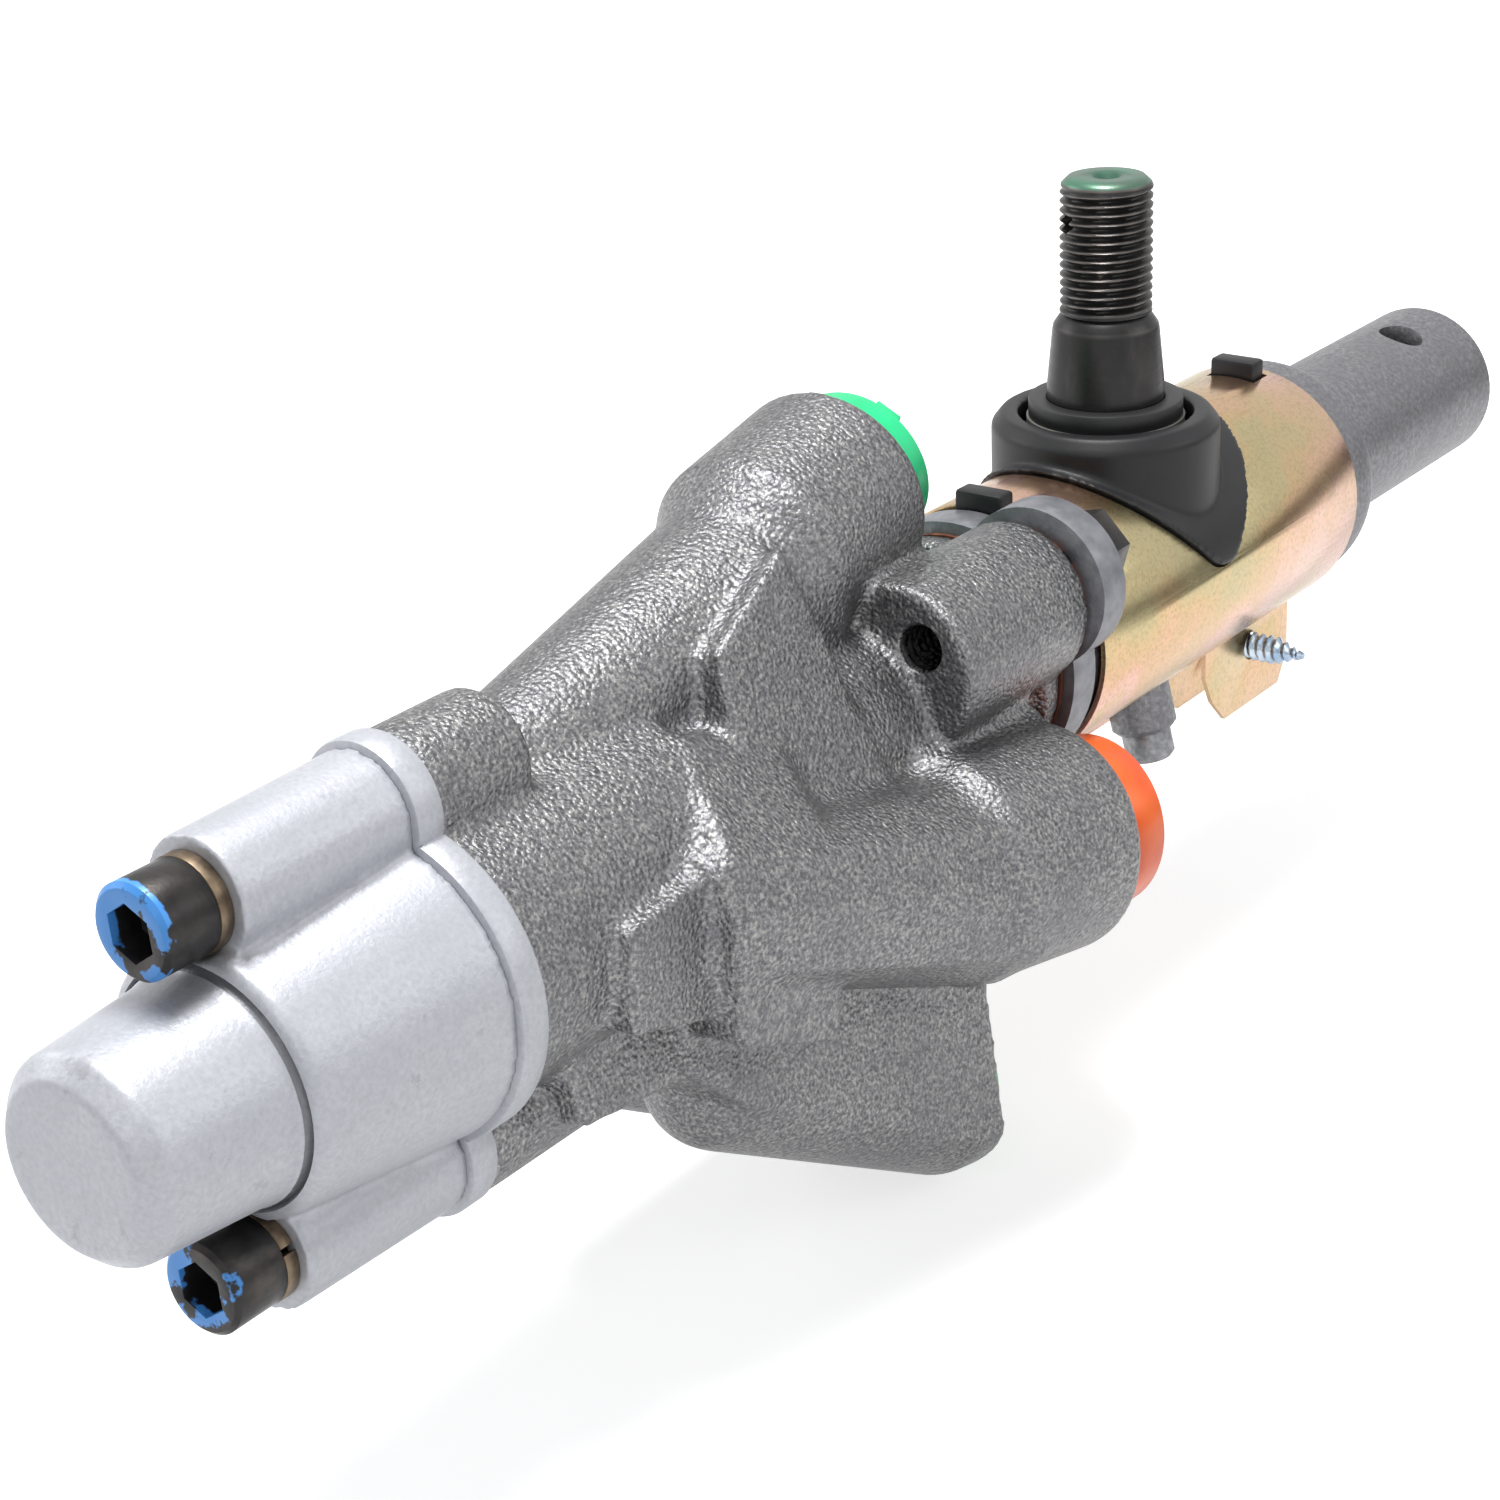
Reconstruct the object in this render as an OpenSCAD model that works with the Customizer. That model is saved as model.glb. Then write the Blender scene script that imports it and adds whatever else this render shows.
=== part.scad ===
// Power steering control valve: spool valve housing, centring spring cap and ball stud sleeve.
// The origin is the centre of the ball. +X runs from the spring cap to the link tube,
// +Z runs up along the ball stud. All sizes are in millimetres.

/* [Valve housing] */
// Plane where the housing meets the adapter plate, measured from the ball centre
housing_back = 163.5; // [150:0.5:175]
// Plane where the housing meets the flange gasket, measured from the ball centre
housing_front = 44.6; // [42:0.2:48]
// Radius of the housing barrel at the adapter end
barrel_r = 19.5; // [18.5:0.1:21]
// Radius of the barrel behind the ports, where the casting is waisted
waist_r = 16.5; // [15.5:0.1:18]
// Radius of the finished spool bore
spool_bore_r = 11.11; // [10.5:0.01:12]
// Radius of the oil grooves inside the spool bore
bore_groove_r = 13.2; // [12.6:0.1:14]
// Splay of the drilled passages away from the spool bore, in degrees
port_splay = 11; // [8:0.5:13]
// Distance of the upper port face from the ball centre, along the valve
upper_port_face = 59; // [56:0.5:61]
// Distance of the near port face from the ball centre, along the valve
near_port_face = 54; // [53:0.5:59]
// Distance of these port centres from the spool bore axis
port_offset = 31; // [29:0.5:33]
// Radius of the upper port boss
upper_boss_r = 15.5; // [14.5:0.1:16.5]
// Radius of the near port boss
near_boss_r = 16.8; // [15.5:0.1:17]
// Radius of the tapped port holes
port_r = 7.94; // [7:0.01:8.2]
// Depth of the tapped port holes
port_depth = 15; // [13:0.5:17]
// Radius of the drilled oil passages
passage_r = 3.6; // [3:0.1:4]

/* [Lower wing of the housing] */
// Distance of the lower port faces from the ball centre
wing_face = 71.5; // [69:0.5:74]
// Length of the lower wing along the valve
wing_length = 46; // [40:0.5:50]
// Distance of the near lower port from the spool bore axis
wing_offset = 56.5; // [54:0.5:58]
// Radius of the lower port bosses
wing_boss_r = 13; // [12:0.1:14]
// Distance of the flat near wall of the wing from the spool bore axis
wing_wall = 10.5; // [9.5:0.1:12]

/* [Spring cap and adapter] */
// Thickness of the adapter plate
adapter_t = 4.7; // [4:0.1:6]
// Length of the spring chamber part of the cap
cap_body_length = 29; // [27:0.1:31]
// Length of the cap's dome
cap_dome_length = 21.4; // [19:0.1:24]
// Radius of the cap body at the adapter
cap_body_r = 20.2; // [19.6:0.1:21]
// Radius of the dome at its root
cap_dome_r = 14.4; // [13.8:0.1:15]
// Radius of the spring chamber
chamber_r = 14.0; // [13.4:0.1:14.6]
// Distance of the cap screws from the valve axis
cap_screw_offset = 22.1; // [21.5:0.1:23]
// Radius of the cap screw bosses
cap_boss_r = 8.3; // [7.8:0.1:9]
// Radius of the cap screw shanks
cap_screw_r = 3.97; // [3.5:0.01:4.2]
// Radius of the cap screw heads
cap_head_r = 5.95; // [5.5:0.01:6.3]
// Thickness of the split lock washers
lock_washer_t = 2; // [1.6:0.1:2.4]

/* [Ball stud sleeve] */
// Thickness of the sleeve flange
flange_t = 6; // [5:0.1:7]
// Thickness of the flange gasket
gasket_t = 0.8; // [0.5:0.1:1.2]
// Radius of the sleeve barrel under the clamp
sleeve_r = 19.2; // [18.8:0.1:19.6]
// Radius of the bore that the ball socket slides in
sleeve_bore_r = 15.95; // [15.5:0.01:16.3]
// Distance of the barrel's end from the ball centre
barrel_end = 50; // [49:0.5:53]
// Radius of the link tube
tube_r = 14.12; // [13.5:0.01:15]
// Distance of the link tube's end from the ball centre
tube_end = 116.5; // [108:0.5:125]
// Radius of the bore in the link tube
tube_bore_r = 9.53; // [9:0.01:10]
// Radius of the cross hole through the link tube
pin_hole_r = 4; // [3:0.01:4.5]
// Distance of this cross hole from the ball centre
pin_hole_x = 99.5; // [92:0.5:104]
// Radius of the opening in the sleeve for the ball stud
stud_opening_r = 14.5; // [14:0.1:15]
// Distance of the flange bolts from the valve axis
flange_bolt_offset = 23.6; // [23.4:0.1:24.2]
// Radius of the flange bolts
flange_bolt_r = 3.17; // [3:0.01:3.3]
// Distance of the open tapped holes in the lugs' back ends from the valve axis
lug_hole_offset = 20.8; // [20:0.1:22]
// Radius of these open tapped holes
lug_hole_r = 3.97; // [3.5:0.01:4.2]

/* [Ball joint] */
// Radius of the ball
ball_r = 12.7; // [12.2:0.05:13]
// Radius of the stud's neck above the ball
neck_r = 7; // [6.5:0.1:7.4]
// Radius of the stud's taper at its wide end
taper_r = 9.1; // [8.8:0.1:9.4]
// Radius of the stud's taper at its narrow end
taper_top_r = 8.2; // [7.9:0.1:8.5]
// Major radius of the stud's thread
stud_thread_r = 7.14; // [6.5:0.01:7.5]
// Height of the stud's tip above the ball centre
stud_top = 62.7; // [58:0.1:68]
// Height of the shoulder between the taper and the thread
stud_shoulder = 39.6; // [38.5:0.1:41]
// Radius of the cotter pin hole through the thread
cotter_r = 1.6; // [1.2:0.1:2]
// Radius of the seal washer round the taper
washer_r = 12; // [11.5:0.1:12.4]
// Height of the underside of the seal washer
washer_z = 25.4; // [25:0.1:26]
// Thickness of the seal washer
washer_t = 2.95; // [2.5:0.05:3.5]
// Outer radius of the ball socket
socket_r = 15.9; // [15.4:0.01:16.2]
// Bore radius of the ball socket
socket_bore_r = 13.5; // [13:0.05:13.8]
// Radius of the opening in the socket for the stud's neck
socket_opening_r = 11.2; // [10.8:0.1:11.5]
// Distance from the ball centre to the face of each ball seat
seat_face = 9.8; // [9.6:0.1:10.4]

/* [Boot and clamp] */
// Outer radius of the boot's collar
boot_r = 17.8; // [17.2:0.1:18.4]
// Radius of the boot's opening
boot_opening_r = 13.6; // [13.2:0.1:14]
// Height of the boot's rim above the ball centre
boot_top = 26.2; // [25.5:0.1:27]
// Thickness of the boot's saddle under the clamp band
saddle_t = 0.54; // [0.4:0.02:0.8]
// Thickness of the clamp band
clamp_t = 0.78; // [0.7:0.02:0.8]
// Distance of the clamp's left edge from the ball centre
clamp_left = 35; // [33:0.5:36]
// Distance of the clamp's right edge from the ball centre
clamp_right = 47.6; // [46:0.1:48]
// Lowest point of the opening in the clamp
window_bottom = 3; // [2:0.1:5]
// Position along the valve of the middle of this opening
window_x = 2.4; // [1:0.1:4]

/* [Port plugs] */
// Radius of the upper port's plug
upper_plug_r = 11.8; // [10.5:0.1:12.6]
// Length of its straight rim in front of the port face
upper_plug_rim = 5.4; // [4:0.1:8]
// Height of its dome
upper_plug_dome = 4.5; // [3:0.5:6]
// Radius of the near port's plug
near_plug_r = 12.8; // [12:0.1:13.2]
// Length of its straight rim in front of the port face
near_plug_rim = 7.5; // [5:0.1:9]
// Height of its dome
near_plug_dome = 5; // [4:0.5:6.5]
// Radius of the lower ports' plugs
lower_plug_r = 9.3; // [8.6:0.1:9.4]
// Length of their straight rims in front of the port faces
lower_plug_rim = 1; // [0.6:0.1:2]
// Height of their domes
lower_plug_dome = 2.5; // [2:0.5:4]

/* [Spool] */
// Radial running clearance of the spool in its bore
spool_clearance = 0.04; // [0.02:0.01:0.08]
// Travel of the spool each way from its centre
spool_travel = 1.3; // [1:0.1:1.4]
// Radius of the centring bolt
bolt_r = 3.97; // [3.6:0.01:4.1]
// Outer radius of the centring spring
spring_r = 12.2; // [11.6:0.1:12.6]
// Radius of the centring spring's wire
spring_wire_r = 1.5; // [1.3:0.1:1.6]
// Number of turns of the centring spring
spring_turns = 4.5; // [4:0.5:5]

/* [Hidden] */

$fn = 96;
eps = 0.01;
// Half size of the blocks that trim flat ends
end_block = 100;
// Radial gap of a bolt in its clearance hole
bolt_gap = 0.25;
// Gap between stationary pieces that are slid together
slip_gap = 0.04;
// Gap left beside each face of the sliding stack, beyond its travel
stack_gap = spool_travel + 0.2;

// Stations along the valve axis
x_back = -housing_back;
x_front = -housing_front;
x_adapter = x_back - adapter_t;
x_cap_step = x_adapter - cap_body_length;
x_cap_front = x_cap_step - cap_dome_length;
x_flange = x_front + gasket_t;
x_flange_front = x_flange + flange_t;

// Spring cap
cap_front_r = 13;
cap_nose_r = 10.4;
cap_step_r = 16.9;
cap_wall = 3.2;
cap_shelf = 1.8;
cap_chamfer = 2.7;
cap_fillet = 1.4;
cap_web_w = 13;
cap_screw_angle = 85;
cap_boss_taper = 0.5;
cap_boss_front = x_cap_step + 2.5;
cap_head_length = 7.9;
cap_hex_r = 3.67;
cap_hex_depth = 4.4;
plate_margin = 0.95;

// Counterbore and spigot between the adapter plate and the housing
spigot_r = 14.4;
spigot_length = 4;
land_gap = 0.1;

// Flange bolts
hex_height = 5.4;
hex_r = 6.41;
flange_thread_length = 20;
spot_face = 0.2;

// Grease boss on the sleeve
grease_x = 1.5;
grease_angle = 256;
grease_boss_r = 5.3;
grease_boss_end = 28;
grease_hole_r = 3;

// Link tube
tube_bore_start = barrel_end + 16;
pin_hole_tilt = 14;

// Clamp: the ears beside its split, their screw, the boot's tabs and the rounded window corners
near_ear_y = -8.3;
far_ear_y = 0.6;
clamp_r = sleeve_r + saddle_t + 2 * slip_gap + clamp_t;
ear_depth = 13;
ear_shoulder = 8.4;
arm_depth = 7;
ear_right = clamp_right - 0.6;
ear_left = 18;
arm_left = -9;
screw_x = 34;
screw_z = -clamp_r - 2.8;
clamp_screw_r = 2.4;
screw_head_r = 3.67;
screw_head_h = 4;
tab_w = 8;
tab_t = 4;
tab_top = 23.2;
tab_slot = 5;
saddle_bottom = 2;
tab_stations = [-35.4, 43.2];
window_nose = 7;

// Port plugs: skirt inside the port, its wall and the small pull tab on the upper one
plug_skirt = 6;
plug_gap = 0.06;
plug_wall = 1.8;
plug_flat = 0.2;
plug_tab = [3.4, 4, 4.4];
plug_tab_angle = 230;
plug_tab_x = 7.4;

// Housing
spool_bore_back = x_back + spigot_length + land_gap;
stop_bore_r = sleeve_bore_r + 0.1;
stop_bore_depth = 11;
flange_end_r = barrel_r - 0.8;
lug_r = 12.2;
lug_length = 31;
lug_angle = 136;
lug_inset = 8.1;
lug_hole_depth = 8;
flange_hole_depth = 21.4;
upper_angle = 72;
near_angle = 218;
wing_angle = 255;
far_wing_shift = -18.3;
far_wing_drop = 5;
// Lean of the cross rib's flat face and its distance from the valve axis
rib_lean = 21;
rib_face = 16.7;
// Rise of the lower bosses towards the barrel, over their length
wing_rise = 22;
wing_nose_r = 10.5;

// Ball joint stack along the valve axis
socket_left = -43.4;
socket_end_wall = 5;
stop_length = 7;
stop_head_x = socket_left + stop_length;
bolt_head_length = 4.6;
bolt_head_r = 6.8;
seat_length = 11;
seat_r = socket_bore_r - slip_gap;
seat_outer = seat_face + seat_length;
seat_hole_r = 4;
bumper_length = 3.4;
sleeve_bore_end = seat_outer + socket_end_wall + stack_gap + 1.6;

// Spool stack behind the ball joint
spool_right = x_front - stop_bore_depth - 5;
spool_left = spool_bore_back + 8;
spool_land_r = spool_bore_r - spool_clearance;
spool_waist_r = 8.6;
spool_stem_r = 7.2;
spool_hole_r = bolt_r + 0.1;
sleeve_stem_r = 6.4;
washer_thickness = 2;
inner_washer_x = x_adapter - stack_gap - washer_thickness;
outer_washer_x = x_cap_step + cap_shelf + stack_gap;
spring_washer_r = chamber_r - 0.7;
nut_length = 7;
nut_r = 7.2;

// Four hose ports: angle round the valve, distance of the face, offset, sideways shift
upper_port = [upper_angle, upper_port_face, port_offset, 0];
near_port = [near_angle, near_port_face, port_offset, 0];
wing_port = [wing_angle, wing_face, wing_offset, 0];
far_port = [wing_angle, wing_face - far_wing_drop * tan(port_splay), wing_offset - far_wing_drop, far_wing_shift];
PORTS = [upper_port, near_port, wing_port, far_port];
// Stations of the oil grooves that the ports lead to, in the same order
GROOVES = [-120, -136, -88, -104];
pocket_depth = 8;
pocket_r = 4.8;

// Cylinder along the valve axis between two stations
module rod_x(x0, x1, r, r2 = undef) {
    translate([x0, 0, 0]) rotate([0, 90, 0])
        cylinder(h = x1 - x0, r1 = r, r2 = is_undef(r2) ? r : r2);
}

// Ring along the valve axis between two stations
module ring_x(x0, x1, r_out, r_in) {
    difference() {
        rod_x(x0, x1, r_out);
        rod_x(x0 - 1, x1 + 1, r_in);
    }
}

// Puts children on a ray round the valve axis: local +Z points away from it
module on_ray(angle) {
    rotate([angle - 90, 0, 0]) children();
}

// Puts children at a port's face: local +Z points out of the port
module at_port(port) {
    on_ray(port[0]) translate([-port[1], port[3], port[2]]) rotate([0, 90 - port_splay, 0]) children();
}

// Solid turned round the valve axis from [radius, station] points
module turned_x(points) {
    rotate([0, 90, 0]) rotate_extrude() polygon(points);
}

// Two-lobed outline in the plane across the valve, drawn between two stations
module two_lobed(x0, x1, r, lobe_r, offset_r, angle, web_w) {
    intersection() {
        union() {
            rod_x(x0 - 1, x1 + 1, r);
            for (side = [0, 180]) on_ray(angle + side) {
                translate([x0 - 2, 0, offset_r]) rotate([0, 90, 0]) cylinder(h = x1 - x0 + 4, r = lobe_r);
                translate([x0 - 3, -web_w / 2, 0]) cube([x1 - x0 + 6, web_w, offset_r]);
            }
        }
        translate([x0, -end_block, -end_block]) cube([x1 - x0, 2 * end_block, 2 * end_block]);
    }
}

// Holes or shanks at both stations of a two-bolt pattern
module bolt_pair(angle, offset_r) {
    for (side = [0, 180]) on_ray(angle + side) translate([0, 0, offset_r]) children();
}

// Barrel of the casting with the flange end and the waist between the ports
module housing_barrel() {
    rod_x(x_back - 1, x_back + 42, barrel_r);
    rod_x(x_back + 40, x_front - 1, waist_r);
    rod_x(x_front - 4, x_front + 1, flange_end_r);
    bolt_pair(lug_angle, flange_bolt_offset - lug_inset)
        translate([x_front - lug_length, 0, 0]) rotate([0, 90, 0]) cylinder(h = lug_length + 2, r = lug_r);
}

// Cap screw lugs cast on the barrel's back end
module housing_cap_lugs() {
    on_ray(cap_screw_angle) {
        translate([x_back - 2, 0, cap_screw_offset]) rotate([0, 90, 0]) cylinder(h = 19, r = 8.6);
        translate([x_back - 3, -7, 0]) cube([19.4, 14, cap_screw_offset]);
    }
    on_ray(cap_screw_angle + 180) {
        translate([x_back - 2, 0, cap_screw_offset]) rotate([0, 90, 0]) cylinder(h = 36, r = 9);
        translate([x_back - 3, -8, 0]) cube([36.4, 16, cap_screw_offset]);
    }
}

// Upper passage: a limb that rises from the barrel, then the port boss
module upper_limb() {
    at_port(upper_port) {
        translate([0, 0, -32]) cylinder(h = 8 + eps, r1 = upper_boss_r - 4.5, r2 = upper_boss_r);
        translate([0, 0, -24]) cylinder(h = 22, r = upper_boss_r);
        translate([0, 0, -2 - eps]) cylinder(h = 2 + eps, r1 = upper_boss_r, r2 = upper_boss_r - 1.8);
    }
    hull() {
        on_ray(70) translate([-84, 0, 22.5]) rotate([0, 74, 0]) cylinder(h = 1, r = 15.2, $fn = 32);
        on_ray(70) translate([-143, 0, 16]) rotate([0, 74, 0]) cylinder(h = 1, r = 9, $fn = 32);
    }
}

// Flat-faced rib that slants from the upper limb down to the near port block
module cross_rib() {
    rotate([-rib_lean, 0, 0]) translate([0, -2, 0]) rotate([90, 0, 0]) linear_extrude(height = rib_face - 2)
        polygon([[-113.7, 12.3], [-111.7, 20.4], [-93, 29], [-89.9, 13], [-88.7, -3.7], [-84.7, -9.5],
            [-86, -16], [-112, -16]]);
}

// Outline across the valve, drawn over a length
module across(x, length, outline) {
    translate([x, 0, 0]) rotate([90, 0, 90]) linear_extrude(height = length) polygon(outline);
}

// Outline in the side view, drawn towards the near side from a distance y
module along(y, depth, outline) {
    translate([0, y, 0]) rotate([90, 0, 0]) linear_extrude(height = depth) polygon(outline);
}

// Near port: a square-shouldered block along the passage, then the round boss
module near_limb() {
    at_port(near_port) {
        translate([0, 0, -36]) cylinder(h = 10 + eps, r1 = near_boss_r - 5, r2 = near_boss_r);
        translate([0, 0, -26]) cylinder(h = 23, r = near_boss_r);
        translate([0, 0, -3 - eps]) cylinder(h = 3 + eps, r1 = near_boss_r, r2 = near_boss_r - 2.6);
    }
    // web that fills the crotch between the barrel and the boss
    on_ray(near_angle) translate([-80, -12, 0]) cube([80 - near_port_face, 24, 24]);
    hull() {
        across(-133.5, 2, [[-10, 2], [-19, 8], [-23.5, 6.5], [-26, 1], [-26, -7], [-12, -14]]);
        across(-78, 2, [[-12, -2], [-25, -2.5], [-34, -7], [-37, -15], [-36, -26], [-28, -32.5], [-12, -30]]);
    }
    // higher shoulder of the block beside the barrel
    hull() {
        along(-8, 1.5, [[-122, 17.5], [-110, 14], [-104, 8], [-98, -7], [-105, -16], [-129, -16], [-130, 8]]);
        along(-13, 1.5, [[-125, 13.5], [-107, 10.7], [-100, -5], [-105, -16], [-130, -16], [-130.5, 9]]);
        along(-22, 2, [[-131.5, 7], [-112, 4], [-107, -1], [-106, -14], [-131.5, -10]]);
    }
    // step between this block and the barrel's back end
    along(-8, 14, [[-149, 4.4], [-131, 6], [-128, -1], [-129.5, -15.5], [-149.5, -9.5]]);
    // square web between this block and the lower wing
    along(-10, 15.6, [[-133, -3], [-110, -10], [-112, -26.5], [-132.6, -18]]);
}

// One lower port boss: a round face, with some stock to machine off, that tapers back to a smaller nose
module wing_lobe(port, stock, nose_r) {
    on_ray(port[0]) hull() {
        translate([-port[1], port[3], port[2]]) rotate([0, -90 - port_splay, 0])
            translate([0, 0, -stock]) cylinder(h = 5 + 2 * stock, r = wing_boss_r, $fn = 30 + 3 * stock);
        translate([-wing_face - wing_length, port[3], port[2] - wing_rise])
            sphere(r = nose_r, $fn = 30);
        translate([-wing_face - wing_length, port[3] * 0.3 - 4, 6]) cube([wing_length - 8, 8, 6]);
    }
}

// Lower wing: two lower port bosses side by side behind a flat near wall
module lower_wing() {
    difference() {
        union() {
            wing_lobe(wing_port, 1, wing_nose_r);
            wing_lobe(far_port, 2, wing_nose_r - 0.8);
            // fan-shaped wall that runs out along the barrel
            on_ray(wing_angle) translate([0, wing_wall, 0]) rotate([90, 0, 0])
                linear_extrude(height = 12.4)
                    polygon([[-154.5, 2], [-154.5, 14], [-153.3, 25.3], [-131.7, 28], [-127.8, 32.5], [-122.3, 37.3],
                        [-105.4, 45.7], [-wing_face - 10, wing_offset + 3], [-wing_face + 8, wing_offset + 5.5],
                        [-wing_face + 8, 10], [-80, 0]]);
        }
        on_ray(wing_angle) translate([-wing_face - 100, wing_wall, -30]) cube([140, 40, 120]);
        // one machined plane for both lower port faces
        at_port(wing_port) translate([-end_block, -end_block, 0]) cube(2 * end_block);
    }
}

// Straight passage between two points
module passage(p, q, r) {
    d = q - p;
    translate(p) rotate([0, acos(d[2] / norm(d)), atan2(d[1], d[0])]) cylinder(h = norm(d), r = r);
}

// Tapped hole, seat pocket and the passage from the pocket to an oil groove in the spool bore
module port_cut(port, groove_x) {
    at_port(port) {
        translate([0, 0, -port_depth]) cylinder(h = port_depth + 20, r = port_r);
        translate([0, 0, -port_depth - pocket_depth]) cylinder(h = pocket_depth + 1, r = pocket_r);
    }
    back = port_depth + pocket_depth - passage_r;
    on_ray(port[0]) passage([-port[1] - back * cos(port_splay), port[3], port[2] - back * sin(port_splay)],
        [groove_x, 0, 0], passage_r);
}

module valve_housing() {
    color("dimgray") difference() {
        union() {
            housing_barrel();
            housing_cap_lugs();
            upper_limb();
            cross_rib();
            near_limb();
            lower_wing();
        }
        // machined back and front planes
        translate([x_back - 2 * end_block, -end_block, -end_block]) cube(2 * end_block);
        translate([x_front, -end_block, -end_block]) cube(2 * end_block);
        rod_x(x_back - 5, spool_bore_back, spigot_r + slip_gap);
        rod_x(spool_bore_back - 1, x_front + 5, spool_bore_r);
        for (x = GROOVES) rod_x(x - 4, x + 4, bore_groove_r);
        rod_x(x_front - stop_bore_depth, x_front + 5, stop_bore_r);
        for (i = [0 : 3]) port_cut(PORTS[i], GROOVES[i]);
        bolt_pair(cap_screw_angle, cap_screw_offset)
            translate([x_back - 5, 0, 0]) rotate([0, 90, 0]) cylinder(h = 19, r = cap_screw_r + slip_gap);
        bolt_pair(lug_angle, flange_bolt_offset)
            translate([x_front - flange_hole_depth, 0, 0]) rotate([0, 90, 0])
                cylinder(h = flange_hole_depth + 5, r = flange_bolt_r + slip_gap);
        bolt_pair(lug_angle, lug_hole_offset)
            translate([x_front - lug_length - 5, 0, 0]) rotate([0, 90, 0])
                cylinder(h = lug_hole_depth + 5, r = lug_hole_r);
    }
}

module adapter_plate() {
    color("silver") difference() {
        union() {
            two_lobed(x_adapter, x_back, cap_body_r + plate_margin, cap_boss_r + plate_margin,
                cap_screw_offset, cap_screw_angle, cap_web_w + 2 * plate_margin);
            rod_x(x_back - eps, x_back + spigot_length, spigot_r);
        }
        rod_x(x_adapter - 1, x_back + spigot_length + 1, 9);
        bolt_pair(cap_screw_angle, cap_screw_offset)
            translate([x_adapter - 1, 0, 0]) rotate([0, 90, 0])
                cylinder(h = adapter_t + 2, r = cap_screw_r + bolt_gap);
        // groove for the seal ring on the spigot
        difference() {
            rod_x(x_back + 1, x_back + 3, spigot_r + 1);
            rod_x(x_back, x_back + 4, spigot_r - 1.4);
        }
    }
}

module spring_cap() {
    color("lightgray") difference() {
        union() {
            turned_x([[0, x_cap_front], [cap_nose_r, x_cap_front],
                [cap_front_r, x_cap_front + cap_chamfer], [cap_dome_r, x_cap_step - cap_fillet],
                [cap_dome_r + cap_fillet * 0.4, x_cap_step], [cap_step_r - 0.8, x_cap_step],
                [cap_step_r, x_cap_step + 0.8], [cap_body_r, x_adapter], [0, x_adapter]]);
            for (side = [0, 180]) on_ray(cap_screw_angle + side) {
                translate([cap_boss_front, 0, cap_screw_offset]) rotate([0, 90, 0])
                    cylinder(h = x_adapter - cap_boss_front, r1 = cap_boss_r - cap_boss_taper, r2 = cap_boss_r);
                translate([cap_boss_front + 1.5, -cap_web_w / 2, 0])
                    cube([x_adapter - cap_boss_front - 1.5, cap_web_w, cap_screw_offset]);
            }
        }
        rod_x(x_cap_front + cap_wall, x_cap_step + cap_shelf + eps, cap_front_r - cap_wall);
        rod_x(x_cap_step + cap_shelf, x_adapter + 1, chamber_r);
        bolt_pair(cap_screw_angle, cap_screw_offset)
            translate([x_cap_front, 0, 0]) rotate([0, 90, 0]) cylinder(h = 60, r = cap_screw_r + bolt_gap);
        bolt_pair(cap_screw_angle, cap_screw_offset)
            translate([x_cap_front, 0, 0]) rotate([0, 90, 0])
                cylinder(h = cap_boss_front - x_cap_front, r = cap_head_r + 0.5);
    }
}

// One socket head cap screw along +X, its washer face at the local origin
module socket_screw() {
    rotate([0, 90, 0]) difference() {
        union() {
            translate([0, 0, -cap_head_length + 0.6]) cylinder(h = cap_head_length - 0.6, r = cap_head_r);
            translate([0, 0, -cap_head_length])
                cylinder(h = 0.6 + eps, r1 = cap_head_r - 0.6, r2 = cap_head_r);
            cylinder(h = x_back - cap_boss_front + lock_washer_t + 12, r = cap_screw_r);
        }
        translate([0, 0, -cap_head_length - 1]) cylinder(h = cap_hex_depth + 1, r = cap_hex_r, $fn = 6);
    }
}

module cap_screws() {
    color("#202024") bolt_pair(cap_screw_angle, cap_screw_offset)
        translate([cap_boss_front - lock_washer_t, 0, 0]) socket_screw();
}

module cap_lock_washers() {
    color("#5a4a3c") bolt_pair(cap_screw_angle, cap_screw_offset) translate([cap_boss_front, 0, 0])
        difference() {
            translate([-lock_washer_t, 0, 0]) ring_x(0, lock_washer_t, cap_head_r + 0.1, cap_screw_r + slip_gap);
            translate([-lock_washer_t - 1, 0, -0.4]) rotate([-20, 0, 0]) cube([lock_washer_t + 2, 10, 0.8]);
        }
}

module adapter_bushing() {
    color("peru") ring_x(x_adapter, x_back, 9, sleeve_stem_r + 0.08);
}

module adapter_seal() {
    color("#181818") translate([x_back + 2, 0, 0]) rotate([0, 90, 0])
        rotate_extrude() translate([spigot_r - 0.62, 0]) circle(r = 0.63, $fn = 24);
}

module spool_end_seal() {
    color("#181818") ring_x(x_back, x_back + 3.6, 8.9, sleeve_stem_r + 0.08);
}

module flange_gasket() {
    color("saddlebrown") difference() {
        two_lobed(x_front, x_flange, flange_end_r, lug_r - 0.8, flange_bolt_offset - lug_inset, lug_angle, 14);
        rod_x(x_front - 1, x_flange + 1, stop_bore_r);
        bolt_pair(lug_angle, flange_bolt_offset)
            translate([x_front - 1, 0, 0]) rotate([0, 90, 0]) cylinder(h = 3, r = flange_bolt_r + bolt_gap);
    }
}

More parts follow.
